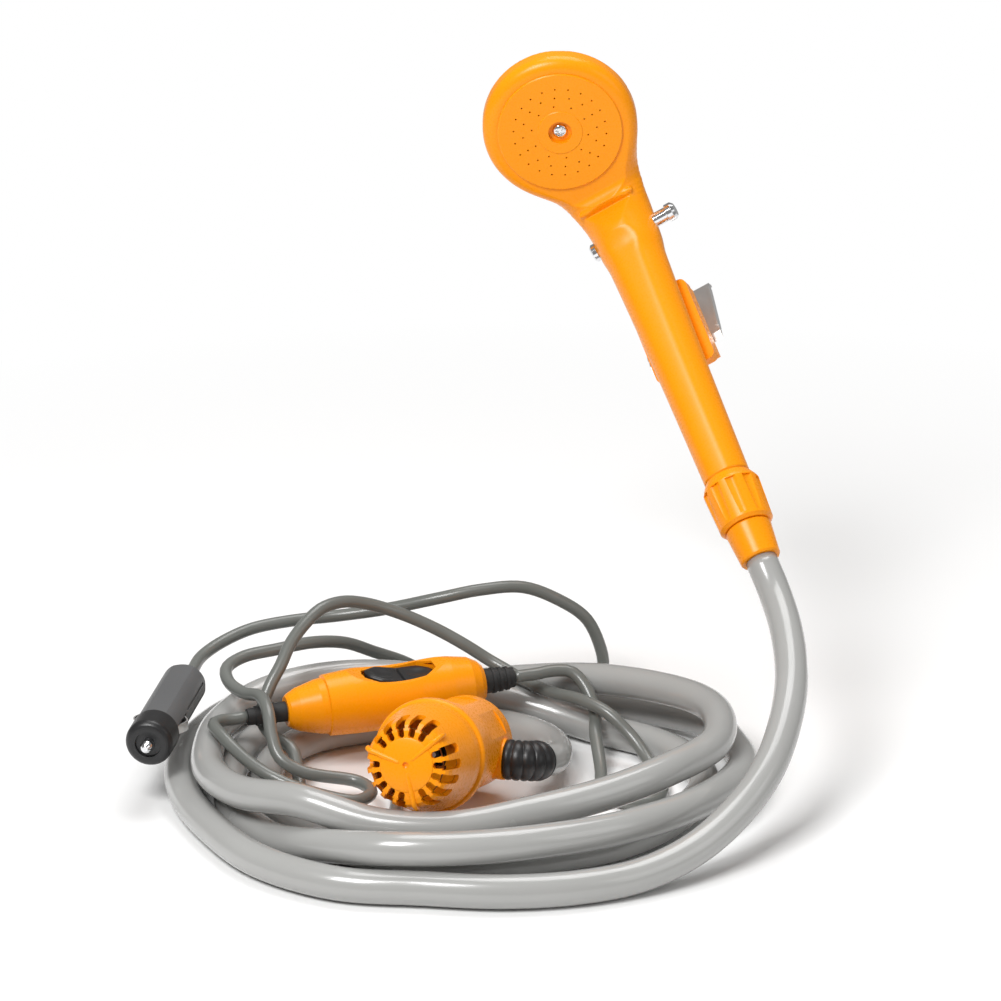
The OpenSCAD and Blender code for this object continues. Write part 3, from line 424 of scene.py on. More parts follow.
@dataclass(frozen=True)
class PaintedShadeCageFinish(Finish):
    """The strainer's plastic, with painted shade that darkens its colour inside the cage.

    The painted shade begins where the distance from the pump's axis plus a share of the height is
    less than at the cage's outer wall, and below the front face.
    """

    place: Place = PUMP
    slope: float = 0.185
    wall: float = 33.0
    face: float = 92.7
    softness: float = 0.8
    # Colour of the painted shade inside the cage.
    painted_shade_colour: Triple = (0.05, 0.012, 0.002)

    def build(self) -> bpy.types.Material:
        """Builds the node material with the shade mixed into its colour.

        Returns:
            The material.
        """
        material = super().build()
        tree = material.node_tree
        shader = tree.nodes["Principled BSDF"]
        x, y, height = self.pump_coordinates(tree)
        plane = add_node(tree, "ShaderNodeCombineXYZ", {"X": x, "Y": y})
        around = add_node(tree, "ShaderNodeVectorMath", {0: plane.outputs["Vector"]}, operation="LENGTH")
        lean = arithmetic(tree, "MULTIPLY", height, self.slope)
        reach = arithmetic(tree, "ADD", around.outputs["Value"], lean)
        within = self.below(tree, reach, self.wall)
        under = self.below(tree, height, self.face)
        plain = shader.inputs["Base Color"].links[0].from_socket
        # Mixes the painted shade into the base colour inside the cage's wall and below its front face.
        mix = add_node(tree, "ShaderNodeMix", {
            MIX_SHARE: arithmetic(tree, "MULTIPLY", within, under), MIX_FIRST: plain,
            MIX_SECOND: (*self.painted_shade_colour, 1.0)}, data_type="RGBA")
        tree.links.new(mix.outputs[MIX_RESULT], shader.inputs["Base Color"])
        return material

    def pump_coordinates(self, tree: Tree) -> list[Socket]:
        """Adds nodes that turn Object coordinates back into the pump's own x, y and z.

        Args:
            tree: The node tree.

        Returns:
            The three coordinates' sockets, in metres.
        """
        back = np.linalg.inv(turn_matrix(self.place.turn))
        offset = -back @ ((np.array(self.place.position) + COIL_CENTRE) * MM)
        source = add_node(tree, "ShaderNodeTexCoord", {}).outputs["Object"]
        dots = [add_node(tree, "ShaderNodeVectorMath", {0: source, 1: tuple(row)}, operation="DOT_PRODUCT")
                for row in back]
        return [arithmetic(tree, "ADD", dot.outputs["Value"], float(shift))
                for dot, shift in zip(dots, offset)]

    def below(self, tree: Tree, socket: Socket,
              limit: float) -> Socket:
        """Adds a soft step that is 1 well below a limit and 0 above it.

        Args:
            tree: The node tree.
            socket: The value, in metres.
            limit: Where the step ends, in millimetres.

        Returns:
            The result's socket.
        """
        step = add_node(tree, "ShaderNodeMapRange", {
            "Value": socket, "From Min": (limit - self.softness) * MM, "From Max": limit * MM,
            "To Min": 1.0, "To Max": 0.0})
        return step.outputs["Result"]


CAGE = PaintedShadeCageFinish("amber_cage_painted_shade", AMBER.tone, AMBER.shade, AMBER.roughness, specular=AMBER.specular,
                  grain=AMBER.grain, bump=AMBER.bump)


@dataclass
class Paintbox:
    """Builds each finish once and puts it on pieces and CAD nodes."""

    made: dict[str, bpy.types.Material] = field(default_factory=dict)

    def get(self, finish: Finish) -> bpy.types.Material:
        """Gives a finish's material, which is made on its first use.

        Args:
            finish: The finish.

        Returns:
            Its material.
        """
        if finish.name not in self.made:
            self.made[finish.name] = finish.build()
        return self.made[finish.name]

    def dress(self, piece: bpy.types.Object, finish: Finish, body: str, *nodes: str) -> None:
        """Gives a new piece its finish, its body and the CAD nodes it stands for.

        Args:
            piece: The new piece.
            finish: Its finish, which is also its material slot.
            body: The CAD body it rides on.
            nodes: CAD nodes that it replaces.
        """
        piece.data.materials.append(self.get(finish))
        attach(piece, body)
        if nodes:
            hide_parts(*nodes)
        LOG.info("%s: %d vertices, rides on %s", piece.name, len(piece.data.vertices), body)

    def dress_cad(self) -> None:
        """Gives every CAD node the material of its slot, and the cage its own one with painted shade inside.
        """
        slots = {row["node"]: row["material_slot"] for row in frame["record"]["subparts"]}
        for name, node in frame["nodes"].items():
            material = self.get(CAGE if name == "strainer_cage" else FINISHES[slots[name]])
            for slot in node.material_slots:
                slot.material = material
            LOG.info("%s: CAD shape in %s", name, material.name)


# Camera and light

def seen_directly(tree: Tree) -> Socket:
    """Adds nodes that are 1 for camera and transmission rays and 0 for all others.

    Args:
        tree: The node tree to add them to.

    Returns:
        The socket with the value.
    """
    ray = add_node(tree, "ShaderNodeLightPath", {})
    return arithmetic(tree, "MAXIMUM", ray.outputs["Is Camera Ray"], ray.outputs["Is Transmission Ray"])


@dataclass(frozen=True)
class SoftBox:
    """A square lamp that looks at the middle of the set: place and side in metres, power in watts."""

    name: str
    spot: Triple
    side: float
    power: float
    aim: Triple = (0.0, 0.0, 0.08)

    def build(self) -> None:
        """Adds the lamp to the scene."""
        data = bpy.data.lights.new(self.name, "AREA")
        data.shape = "SQUARE"
        data.size = self.side
        data.energy = self.power
        lamp = bpy.data.objects.new(self.name, data)
        lamp.location = self.spot
        lamp.rotation_mode = "QUATERNION"
        lamp.rotation_quaternion = (Vector(self.aim) - Vector(self.spot)).to_track_quat("-Z", "Y")
        bpy.context.scene.collection.objects.link(lamp)


@dataclass
class Studio:
    """Camera, floor, lamps and world. The floor's and the clip's distances are in metres."""

    target: Triple = (9.0, 60.0, 111.0)
    distance: float = 1800.0
    elevation: float = 20.0
    pixel: float = 0.43
    frame_width: int = 1001
    sensor: float = 36.0
    clip: tuple[float, float] = (0.05, 50.0)
    floor_half: float = 3.0
    floor_tone: float = 0.92
    floor_roughness: float = 0.8
    floor_specular: float = 0.1
    white_from: float = 0.28
    white_to: float = 0.62
    world_tone: Triple = (1.0, 0.98, 0.95)
    world_strength: float = 0.25
    lamps: tuple[SoftBox, ...] = (
        SoftBox("key", (-0.7, -1.0, 1.5), 0.7, 27.0),
        SoftBox("fill", (1.3, -0.9, 0.9), 0.9, 3.0),
        SoftBox("top", (0.1, 0.5, 1.7), 1.0, 14.0))

    def camera(self) -> None:
        """Puts the camera where the photograph's camera is taken to have stood, with no shift."""
        data = bpy.data.cameras.new("camera")
        data.sensor_width = self.sensor
        data.lens = self.sensor * (self.distance / self.pixel) / self.frame_width
        data.clip_start, data.clip_end = self.clip
        camera = bpy.data.objects.new("camera", data)
        bpy.context.scene.collection.objects.link(camera)
        rise = math.radians(self.elevation)
        ahead = Vector((0.0, math.cos(rise), -math.sin(rise)))
        aim = Vector((np.array(self.target) + COIL_CENTRE) * MM)
        camera.location = aim - ahead * self.distance * MM
        camera.rotation_mode = "QUATERNION"
        camera.rotation_quaternion = ahead.to_track_quat("-Z", "Y")
        bpy.context.scene.camera = camera

    def floor(self) -> None:
        """Lays the pale floor, which is white to the camera away from the object's shadow."""
        rows = np.array([-self.floor_half, self.floor_half])
        x, y = np.meshgrid(rows, rows)
        corners = np.stack([x, y, np.zeros_like(x)], axis=-1)
        ground = grid_mesh("floor", corners, close_u=False, cap_ends=False)
        material, tree, shader = new_material("floor_white")
        fill_inputs(tree, shader, {
            "Base Color": (self.floor_tone, self.floor_tone, self.floor_tone, 1.0),
            "Roughness": self.floor_roughness, "Specular IOR Level": self.floor_specular})
        place = add_node(tree, "ShaderNodeTexCoord", {})
        reach = add_node(tree, "ShaderNodeVectorMath", {0: place.outputs["Object"]}, operation="LENGTH")
        far = add_node(tree, "ShaderNodeMapRange", {
            "Value": reach.outputs["Value"], "From Min": self.white_from, "From Max": self.white_to})
        white = add_node(tree, "ShaderNodeEmission", {"Color": WHITE, "Strength": 1.0})
        mix = add_node(tree, "ShaderNodeMixShader", {
            0: arithmetic(tree, "MULTIPLY", far.outputs["Result"], seen_directly(tree)),
            1: shader.outputs["BSDF"], 2: white.outputs["Emission"]})
        tree.links.new(mix.outputs["Shader"], tree.nodes["Material Output"].inputs["Surface"])
        ground.data.materials.append(material)

    def world(self) -> None:
        """Makes a pale world that is white to the camera."""
        world = bpy.data.worlds.new("studio")
        world.use_nodes = True
        bpy.context.scene.world = world
        tree = world.node_tree
        plain = tree.nodes["Background"]
        fill_inputs(tree, plain, {"Color": (*self.world_tone, 1.0), "Strength": self.world_strength})
        white = add_node(tree, "ShaderNodeBackground", {"Color": WHITE, "Strength": 1.0})
        mix = add_node(tree, "ShaderNodeMixShader", {
            0: seen_directly(tree), 1: plain.outputs["Background"], 2: white.outputs["Background"]})
        tree.links.new(mix.outputs["Shader"], tree.nodes["World Output"].inputs["Surface"])

    def build(self) -> None:
        """Makes the camera, the floor, the lamps and the world."""
        self.camera()
        self.floor()
        for lamp in self.lamps:
            lamp.build()
        self.world()
        bpy.context.scene.view_settings.view_transform = "Standard"


# Handset

@dataclass
class Handset:
    """The moulded handle, neck and head, as one skin found along rays from its centre line.

    The skin is where a blended distance is zero. It is the distance to a swelling round handle
    with a flat grip panel, a neck swept along a bent line and a disc with rounded edges. It is
    cut back to the dished face and to a slanting band under it, and gains a round ridge.
    """

    handle_len: float = 142.0
    low_r: float = 10.3
    top_r: float = 14.6
    linear_part: float = 0.55
    swell_end: float = 1.05
    overrun: float = 1.5
    pin_swell: float = 0.85
    pin_swell_z: float = 114.0
    pin_swell_run: float = 10.0
    panel_y: float = 9.8
    panel_slope: float = 0.02
    panel_low: float = -1.0
    panel_fade: float = 2.6
    panel_fade_z: float = 119.0
    panel_fade_run: float = 9.0
    panel_blend: float = 1.2
    bend: float = 52.0
    bend_z: float = 126.0
    bend_corner: Triple = (0.0, 0.5, 150.0)
    neck_len: float = 40.5
    neck_balls: int = 26
    neck_wide: tuple[float, float] = (12.2, 13.9)
    neck_deep: tuple[float, float] = (12.0, -2.8)
    neck_power: float = 1.15
    neck_blend: float = 2.0
    axis_depth: float = 11.0
    face_y: float = 2.1
    face_drop: float = 1.0
    dish_r: float = 24.5
    dish_run: float = 7.5
    dish_depth: float = 2.1
    face_reach: float = 33.0
    face_fade: float = 60.0
    face_fade_run: float = 20.0
    head_r: float = 34.2
    head_middle: float = 11.8
    head_half: float = 10.8
    front_edge: float = 5.4
    back_edge: float = 8.0
    back_dome: float = 154.0
    head_blend: float = 9.0
    band_y: float = 14.0
    band_z: float = 133.0
    band_slope: float = 0.24
    band_end: float = 140.6
    band_fade: float = 4.0
    band_blend: float = 0.5
    ridge_y: float = -13.9
    ridge_z: float = 142.2
    ridge_half: float = 12.6
    ridge_r: float = 1.0
    ridge_blend: float = 1.6
    columns: int = 300
    handle_rows: int = 100
    bend_rows: int = 140
    fan_rows: int = 60
    first_z: float = 0.05
    far: float = 60.0
    halvings: int = 20

    def face_normal(self) -> np.ndarray:
        """Unit vector out of the spray face."""
        a = math.radians(90 + self.bend)
        return np.array([0, -math.sin(a), math.cos(a)])

    def head_way(self) -> np.ndarray:
        """Unit vector from the neck ridge to the middle of the spray face."""
        a = math.radians(self.bend)
        return np.array([0, -math.sin(a), math.cos(a)])

    def face_middle(self) -> np.ndarray:
        """Middle of the spray face, in handset millimetres."""
        return np.array([0, self.face_y - self.top_r, self.handle_len]) + self.neck_len * self.head_way()

    def handle_radius(self, z: np.ndarray) -> np.ndarray:
        """Radius of the handle: a slow swell, part linear and part cubic, and one by the pin.

        Args:
            z: Heights along the handle.

        Returns:
            The radii.
        """
        share = np.clip(z / self.handle_len, 0, self.swell_end)
        swell = self.linear_part * share + (1 - self.linear_part) * share ** 3
        near_pin = ease((z - self.pin_swell_z) / self.pin_swell_run)
        return self.low_r + (self.top_r - self.low_r) * swell + self.pin_swell * near_pin

    def centre_line(self) -> tuple[np.ndarray, np.ndarray, np.ndarray]:
        """Centre line with its direction and its front vector at each station.

        The line is straight up the handle, then a quadratic bend to the middle of the head. Its
        directions turn evenly into the head's own over the last third of the stations.

        Returns:
            Arrays of stations, directions and front vectors.
        """
        middle = self.face_middle() - self.axis_depth * self.face_normal()
        straight = np.linspace(self.first_z, self.bend_z, self.handle_rows)
        low = np.stack([0 * straight, 0 * straight, straight], axis=1)
        a, b = low[-1], np.array(self.bend_corner)
        t = np.linspace(0, 1, self.bend_rows + 1)[1:, None]
        line = np.vstack([low, (1 - t) ** 2 * a + 2 * t * (1 - t) * b + t ** 2 * middle])
        way = np.gradient(line, axis=0)
        way /= np.linalg.norm(way, axis=1)[:, None]
        share = np.clip(np.linspace(-2, 1, len(line)), 0, 1)[:, None]
        way = (1 - share) * way + share * self.head_way()
        way /= np.linalg.norm(way, axis=1)[:, None]
        return line, way, np.cross(np.array([1.0, 0, 0]), way)

    def handle_distance(self, p: np.ndarray) -> np.ndarray:
        """Distance to the round handle, cut flat by the grip panel, which fades out at its top.

        Args:
            p: Points, last axis x, y, z.

        Returns:
            The distances.
        """
        x, y, z = np.moveaxis(p, -1, 0)
        handle = np.maximum(np.hypot(x, y) - self.handle_radius(z), z - self.handle_len - self.overrun)
        fade = self.panel_fade * np.clip((z - self.panel_fade_z) / self.panel_fade_run, 0, 1) ** 2
        panel = -y - self.panel_y - self.panel_slope * (z - self.panel_low) - fade
        return smooth_max(handle, panel, self.panel_blend)

    def neck_distance(self, p: np.ndarray) -> np.ndarray:
        """Distance to the neck: the least over flattened balls along the bent line.

        Args:
            p: Points, last axis x, y, z.

        Returns:
            The distances.
        """
        line, way, front = self.centre_line()
        chosen = np.linspace(self.handle_rows - 2, len(line) - 1, self.neck_balls).astype(int)
        share = np.linspace(0, 1, self.neck_balls)
        wide = self.neck_wide[0] + self.neck_wide[1] * share ** self.neck_power
        deep = self.neck_deep[0] + self.neck_deep[1] * share
        tiny = 1e-9
        least = np.full(p.shape[:-1], np.inf)
        for i, w, d in zip(chosen, wide, deep):
            q = p - line[i]
            x, y, z = q[..., 0] / w, q @ front[i] / d, q @ way[i] / d
            size = np.sqrt(x * x + y * y + z * z) + tiny
            slope = np.sqrt((x / w) ** 2 + (y / d) ** 2 + (z / d) ** 2) + tiny
            least = np.minimum(least, size * (size - 1) / slope)
        return least

    def head_distance(self, p: np.ndarray) -> np.ndarray:
        """Distance to the head: a disc with rounded edges and a domed back.

        Args:
            p: Points, last axis x, y, z.

        Returns:
            The distances.
        """
        normal = self.face_normal()
        q = p - (self.face_middle() - self.head_middle * normal)
        depth = q @ normal
        across = np.linalg.norm(q - depth[..., None] * normal, axis=-1)
        edge = np.where(depth > 0, self.front_edge, self.back_edge)
        dome = np.where(depth > 0, 0.0, across ** 2 / self.back_dome)
        over = np.stack([across - self.head_r + edge, np.abs(depth) - self.head_half + dome + edge], axis=-1)
        return np.linalg.norm(np.maximum(over, 0), axis=-1) + np.minimum(over.max(axis=-1), 0) - edge

    def face_height(self, p: np.ndarray) -> np.ndarray:
        """Height over the flat face, which dips under the plate and fades out below the neck.

        Args:
            p: Points, last axis x, y, z.

        Returns:
            The heights, positive in front of the face.
        """
        q = p - self.face_middle()
        height = q @ self.face_normal()
        across = np.linalg.norm(q - height[..., None] * self.face_normal(), axis=-1)
        dip = self.dish_depth * ease((self.dish_r - across) / self.dish_run)
        beyond = np.clip((-self.face_reach - q @ self.head_way()) / self.face_fade_run, 0, None)
        return height + self.face_drop + dip - self.face_fade * beyond ** 2

    def band_height(self, p: np.ndarray) -> np.ndarray:
        """Height over the slanting band below the ridge, which fades out from its end up.

        Args:
            p: Points, last axis x, y, z.

        Returns:
            The heights, positive in front of the band.
        """
        y, z = p[..., 1], p[..., 2]
        fade = self.band_fade * np.maximum(z - self.band_end, 0)
        return -y - self.band_y + self.band_slope * (z - self.band_z) - fade

    def ridge_distance(self, p: np.ndarray) -> np.ndarray:
        """Distance to the rounded ridge across the neck: a ball swept from side to side.

        Args:
            p: Points, last axis x, y, z.

        Returns:
            The distances.
        """
        x, y, z = np.moveaxis(p, -1, 0)
        beyond = x - np.clip(x, -self.ridge_half, self.ridge_half)
        return np.sqrt(beyond ** 2 + (y - self.ridge_y) ** 2 + (z - self.ridge_z) ** 2) - self.ridge_r

    def distance(self, p: np.ndarray) -> np.ndarray:
        """Blended distance to the whole skin.

        Args:
            p: Points, last axis x, y, z.

        Returns:
            The distances, negative inside.
        """
        grip = smooth_min(self.handle_distance(p), self.neck_distance(p), self.neck_blend)
        whole = smooth_min(grip, self.head_distance(p), self.head_blend)
        whole = np.maximum(whole, self.face_height(p))
        whole = smooth_max(whole, self.band_height(p), self.band_blend)
        return smooth_min(whole, self.ridge_distance(p), self.ridge_blend)

    def skin(self) -> np.ndarray:
        """Grid of the skin: halving search along rays, then a fan of rays over the head's top.

        Returns:
            Array of shape (rows, columns, 3) in handset millimetres.
        """
        line, way, front = self.centre_line()
        angle = full_turn(self.columns)[None, :, None]
        rays = np.cos(angle) * np.array([1.0, 0, 0]) - np.sin(angle) * front[:, None]
        starts = np.repeat(line[:, None], self.columns, axis=1)
        rise = np.linspace(0, np.pi / 2, self.fan_rows + 2)[1:-1, None, None]
        fan = np.cos(rise) * rays[-1][None] + np.sin(rise) * way[-1]
        rays = np.concatenate([rays, fan])
        starts = np.concatenate([starts, np.repeat(starts[-1:], len(fan), axis=0)])
        low, high = np.zeros(rays.shape[:2]), np.full(rays.shape[:2], self.far)
        for _ in range(self.halvings):
            middle = (low + high) / 2
            inside = self.distance(starts + rays * middle[..., None]) < 0
            low, high = np.where(inside, middle, low), np.where(inside, high, middle)
        return starts + rays * low[..., None]

    def build(self, box: Paintbox) -> None:
        """Builds the handset's skin.

        Args:
            box: The paintbox with the finishes.
        """
        piece = grid_mesh("handset_skin", inside_box(HANDSET.put(self.skin())))
        box.dress(piece, AMBER, "set", "handset_body")


@dataclass
class PlateScrew:
    """The spray plate's pan head screw: a flattened dome with a cross sunk into it."""

    handset: Handset
    inner_r: float = 0.02
    radius: float = 3.3
    dome_r: float = 3.32
    dome_height: float = 1.5
    dome_power: float = 2.6
    seat: float = -2.15
    cross_half: float = 0.55
    cross_reach: float = 2.2
    cross_depth: float = 0.85
    side_blend: float = 0.2
    end_blend: float = 0.25
    turn: float = 0.6
    rings: int = 44
    columns: int = 96

    def surface(self) -> np.ndarray:
        """Grid of the screw's head, turned about the face's normal and set on the face.

        Returns:
            Array of shape (rings, columns, 3) in handset millimetres.
        """
        radius = np.linspace(self.inner_r, self.radius, self.rings)[:, None]
        angle = full_turn(self.columns)[None]
        u, v = radius * np.cos(angle), radius * np.sin(angle)
        dome = self.dome_height * np.sqrt(np.clip(1 - (radius / self.dome_r) ** self.dome_power, 0, 1))
        narrow, wide = np.minimum(np.abs(u), np.abs(v)), np.maximum(np.abs(u), np.abs(v))
        cross = (np.clip((self.cross_half - narrow) / self.side_blend, 0, 1)
                 * np.clip((self.cross_reach - wide) / self.end_blend, 0, 1))
        height = (self.seat + dome - self.cross_depth * cross)[..., None]
        u, v = radius * np.cos(angle + self.turn), radius * np.sin(angle + self.turn)
        normal = self.handset.face_normal()
        side = np.array([1.0, 0, 0])
        flat = u[..., None] * side + v[..., None] * np.cross(normal, side)
        return self.handset.face_middle() + flat + height * normal

    def build(self, box: Paintbox) -> None:
        """Builds the screw's head.

        Args:
            box: The paintbox with the finishes.
        """
        piece = grid_mesh("face_screw", HANDSET.put(self.surface()))
        box.dress(piece, CHROME, "set", "plate_screw")


# Cords

HOSE_ROUTE = np.array([
    [130, 14, 69], [131, -8, 57], [127, -30, 45], [119, -50, 33], [106, -67, 22], [88, -84, 13],
    [66, -98, 8], [40, -108, 7.1], [10, -112, 7.1], [-22, -109, 7.1], [-57, -104, 7.1], [-89, -83, 7.1],
    [-111, -49, 7.1], [-124, -16, 7.1], [-128, 17, 7.1], [-123, 45, 7.1], [-110, 72, 7.1], [-88, 94, 7.1],
    [-56, 107, 7.1], [-20, 108, 7.1], [18, 99, 7.1], [54, 84, 7.5], [84, 67, 9], [101, 48, 12],
    [108, 26, 13], [112, 2, 13.5], [103, -29, 16], [83, -57, 18], [54, -81, 20], [22, -96, 21.5],
    [-8, -102, 21.5], [-38, -100, 20.5], [-63, -85, 15], [-85, -62, 7.5], [-102, -32, 7.1], [-106, 0, 7.1],
    [-102, 28, 7.1], [-92, 51, 7.1], [-74, 71, 7.5], [-46, 85, 9], [-13, 89, 12], [19, 83, 18],
    [49, 69, 24.5], [77, 52, 27.5], [95, 34, 29], [102, 13, 30], [99, -14, 29.5], [79, -42, 30],
    [53, -62, 28], [22, -76, 25.5], [-10, -83, 22], [-41, -81, 22.5], [-73, -70, 28], [-98, -50, 23],
    [-113, -20, 19.5], [-115, 12, 18.5], [-111, 37, 18], [-96, 59, 21], [-70, 73, 23], [-38, 78, 22],
    [-7, 73, 18.5], [23, 68, 11.5], [51, 54, 7.5], [77, 37, 7.1], [91, 17, 7.1], [95, -10, 7.1],
    [81, -41, 7.1], [60, -64, 7.1], [30, -78, 7.1], [-2, -84, 7.1], [-34, -80, 7.1], [-62, -65, 7.1],
    [-80, -39, 7.1], [-90, -5, 7.1], [-87, 22, 7.1], [-73, 43, 7.1], [-47, 56, 7.1], [-8, 61.5, 7.1],
    [13, 56, 7.1], [26, 44.5, 7.8], [32, 29, 10]], float)
SUPPLY_ROUTE = np.array([
    [-123, 78, 31], [-115, 90, 33], [-102, 99, 36], [-84, 104, 38], [-65, 107, 39], [-43, 105, 43],
    [-18, 101, 50], [0, 102, 53.5], [19, 104, 54], [35, 105, 47.5], [47, 106, 38.5], [53, 106, 26.5],
    [55, 105, 16], [52, 105, 8], [44, 108, 3], [30, 113, 3], [12, 118, 3], [-8, 121, 3], [-24, 122, 6],
    [-36, 116, 14], [-47, 106, 22], [-60, 95, 31], [-74, 83, 36], [-90, 72, 37], [-103, 64, 37],
    [-110, 53, 36], [-108, 41, 34], [-101, 32, 33], [-94, 24, 35], [-90, 12, 33], [-88, 2, 26],
    [-84, -6, 19], [-74, -9, 14], [-52, -8, 9.5], [-46, -15, 9], [-46, -23, 9.5], [-52, -31, 10.5],
    [-73, -30, 15], [-84, -26, 18], [-94, -19, 21], [-102, -10, 24], [-109, -1, 27.5],
    [-113, 8, 28.5], [-110, 15, 27.5]], float)
PUMP_ROUTE = np.array([
    [24, 58, 31.2], [32, 60.5, 31.8], [40, 61, 31], [46, 56.5, 26], [50, 48, 18], [50, 36, 13],
    [51, 25, 9], [52, 13, 5], [52, 2, 3.2], [54, -8, 3], [60, -15, 3], [68, -16.5, 3], [75, -12, 3],
    [78, -2, 3], [77, 9, 3], [73, 20, 6], [66, 30, 13], [55, 38, 21.5], [43, 48, 23.5],
    [32, 60, 21.5], [20, 71, 22.5], [10, 79, 25.5], [4, 82, 28], [-6, 84, 34], [-18, 87, 40],
    [-31, 88, 46], [-42, 86, 51], [-51, 82, 55], [-60, 76, 58], [-69, 68, 58], [-76, 60, 54],
    [-82, 52, 48], [-86, 44, 41], [-91, 37, 33], [-94, 30, 23], [-90, 22, 18.5], [-80, 12, 15.5],
    [-77, 2, 8], [-75, -9, 4], [-70, -22, 3], [-64, -35, 3], [-55, -45, 3], [-44, -44, 3],
    [-37, -36, 3], [-35, -22, 3], [-35, -8, 3], [-36, 6, 3], [-34, 20, 3], [-27, 32, 4],
    [-15, 42, 6.5], [-5, 42, 12]], float)


@dataclass(frozen=True)
class Exit:
    """Where a cord leaves a fitting: the middle of its mouth and the unit vector out of it.

    Both are in the frame of the unit at that place.
    """

    place: Place
    mouth: Triple
    way: Triple
    lead: float
    gap: float = 0.05

    def points(self) -> np.ndarray:
        """The cord's two points by the fitting, a gap and a lead out of it, in metres."""
        mouth, way = np.array(self.mouth), np.array(self.way)
        return self.place.put(np.stack([mouth + self.gap * way, mouth + self.lead * way]))


@dataclass
class Elbow:
    """The pump's outlet elbow: a rubber sleeve with round ribs, bent through its arc."""

    start: float = 20.8
    bend_start: float = 23.2
    bend_r: float = 10.5
    angle: float = 75.0
    offset: tuple[float, float] = (-4.0, 14.0)
    groove_r: float = 7.7
    rib: float = 0.95
    pitch: float = 3.15
    hose_lead: float = 12.0
    arc_points: int = 20
    spacing: float = 0.15
    sides: int = 64

    def arc(self, turn: np.ndarray) -> np.ndarray:
        """Points on the elbow's centre arc.

        Args:
            turn: Angles from the arc's start, in radians.

        Returns:
            Array of shape (n, 3) in pump millimetres.
        """
        y, top = self.offset
        return np.stack([self.bend_start + self.bend_r * np.sin(turn), y + 0 * turn,
                         top - self.bend_r + self.bend_r * np.cos(turn)], axis=1)

    def exit(self) -> Exit:
        """Where the hose leaves the sleeve.

        Returns:
            The exit.
        """
        turn = math.radians(self.angle)
        mouth = self.arc(np.array([turn]))[0]
        return Exit(PUMP, tuple(mouth), (math.cos(turn), 0.0, -math.sin(turn)), self.hose_lead)

    def build(self, box: Paintbox) -> None:
        """Builds the sleeve.

        Args:
            box: The paintbox with the finishes.
        """
        first = np.array([[self.start, *self.offset]])
        arc = self.arc(np.radians(np.linspace(0, self.angle, self.arc_points)))
        path = smooth_path(np.vstack([first, arc]), self.spacing)
        along = np.linspace(0, path_length(path), len(path))
        radius = self.groove_r + self.rib * np.sqrt(np.abs(np.sin(np.pi * along / self.pitch)))
        piece = grid_mesh("outlet_sleeve", PUMP.put(tube_points(path, radius, self.sides)))
        box.dress(piece, BLACK_PLASTIC, "set", "outlet_elbow")


FERRULE_EXIT = Exit(HANDSET, (0, 0, -41.4), (0, 0, -1), lead=16.0)
GLAND_EXIT = Exit(PUMP, (0, 5, -14), (0, 0, -1), lead=4.0)
SWITCH_RIGHT_EXIT = Exit(SWITCH, (58, 0, 0), (1, 0, 0), lead=5.0, gap=0.1)
SWITCH_LEFT_EXIT = Exit(SWITCH, (-61, 0, 0), (-1, 0, 0), lead=5.0, gap=0.1)
GROMMET_EXIT = Exit(PLUG, (0, 0, -3.5), (0, 0, -1), lead=5.5)


@dataclass
class Cord:
    """A free cord: a round tube along the smooth curve through its route points."""

    name: str
    node: str
    radius: float
    finish: Finish
    start: Exit
    route: np.ndarray
    end: Exit
    far_end: str
    stiffness: Stiffness
    lay: Lay
    with_pieces: tuple[str, ...] = ()
    sides: int = 28
    spacing: float = 3.0
    off_floor: float = 0.05

    def path(self) -> np.ndarray:
        """Centre line of the cord, kept above the floor.

        Returns:
            Array of shape (n, 3), in metres in the model's frame.
        """
        points = np.vstack([self.start.points(), GROUND.put(self.route), self.end.points()[::-1]])
        path = smooth_path(points, self.spacing * MM)
        path[:, 2] = np.maximum(path[:, 2], (self.radius + self.off_floor) * MM)
        return path

    def build(self, box: Paintbox) -> None:
        """Args:
            box: The paintbox with the finishes.
        """
        path = self.path()
        grid = tube_points(path, np.full(len(path), self.radius * MM), self.sides)
        piece = grid_mesh(self.name, inside_box(grid))
        box.dress(piece, self.finish, "set", self.node)


@dataclass
class Cords:
    """The water hose and the two cables."""

    hose_r: float = 7.0
    cable_r: float = 2.75

    def carried(self, starts: tuple[str, ...]) -> tuple[str, ...]:
        """CAD nodes that a cable carries, found by how their names start."""
        return tuple(name for name in frame["nodes"] if name.startswith(starts))

    def build(self, box: Paintbox) -> None:
        """Builds the three cords.

        Args:
            box: The paintbox with the finishes.
        """
        hose = Cord("hose", "water_hose", self.hose_r, HOSE_GREY, FERRULE_EXIT, HOSE_ROUTE,
                    Elbow().exit(), "object", Stiffness.MEDIUM, Lay.COILED, sides=40, spacing=4.0)
        to_pump = Cord("cable_to_pump", "pump_cable", self.cable_r, CABLE_GREY, GLAND_EXIT,
                       PUMP_ROUTE[::-1], SWITCH_RIGHT_EXIT, "fitting", Stiffness.LIMP, Lay.LOOSE,
                       self.carried(("switch_", "rocker")))
        to_plug = Cord("cable_to_plug", "supply_cable", self.cable_r, CABLE_GREY, SWITCH_LEFT_EXIT,
                       SUPPLY_ROUTE[::-1], GROMMET_EXIT, "plug", Stiffness.LIMP, Lay.LOOSE,
                       self.carried(("plug_", "tip_spring", "side_contacts")))
        for cord in (hose, to_pump, to_plug):
            cord.build(box)


# Strainer and rocker

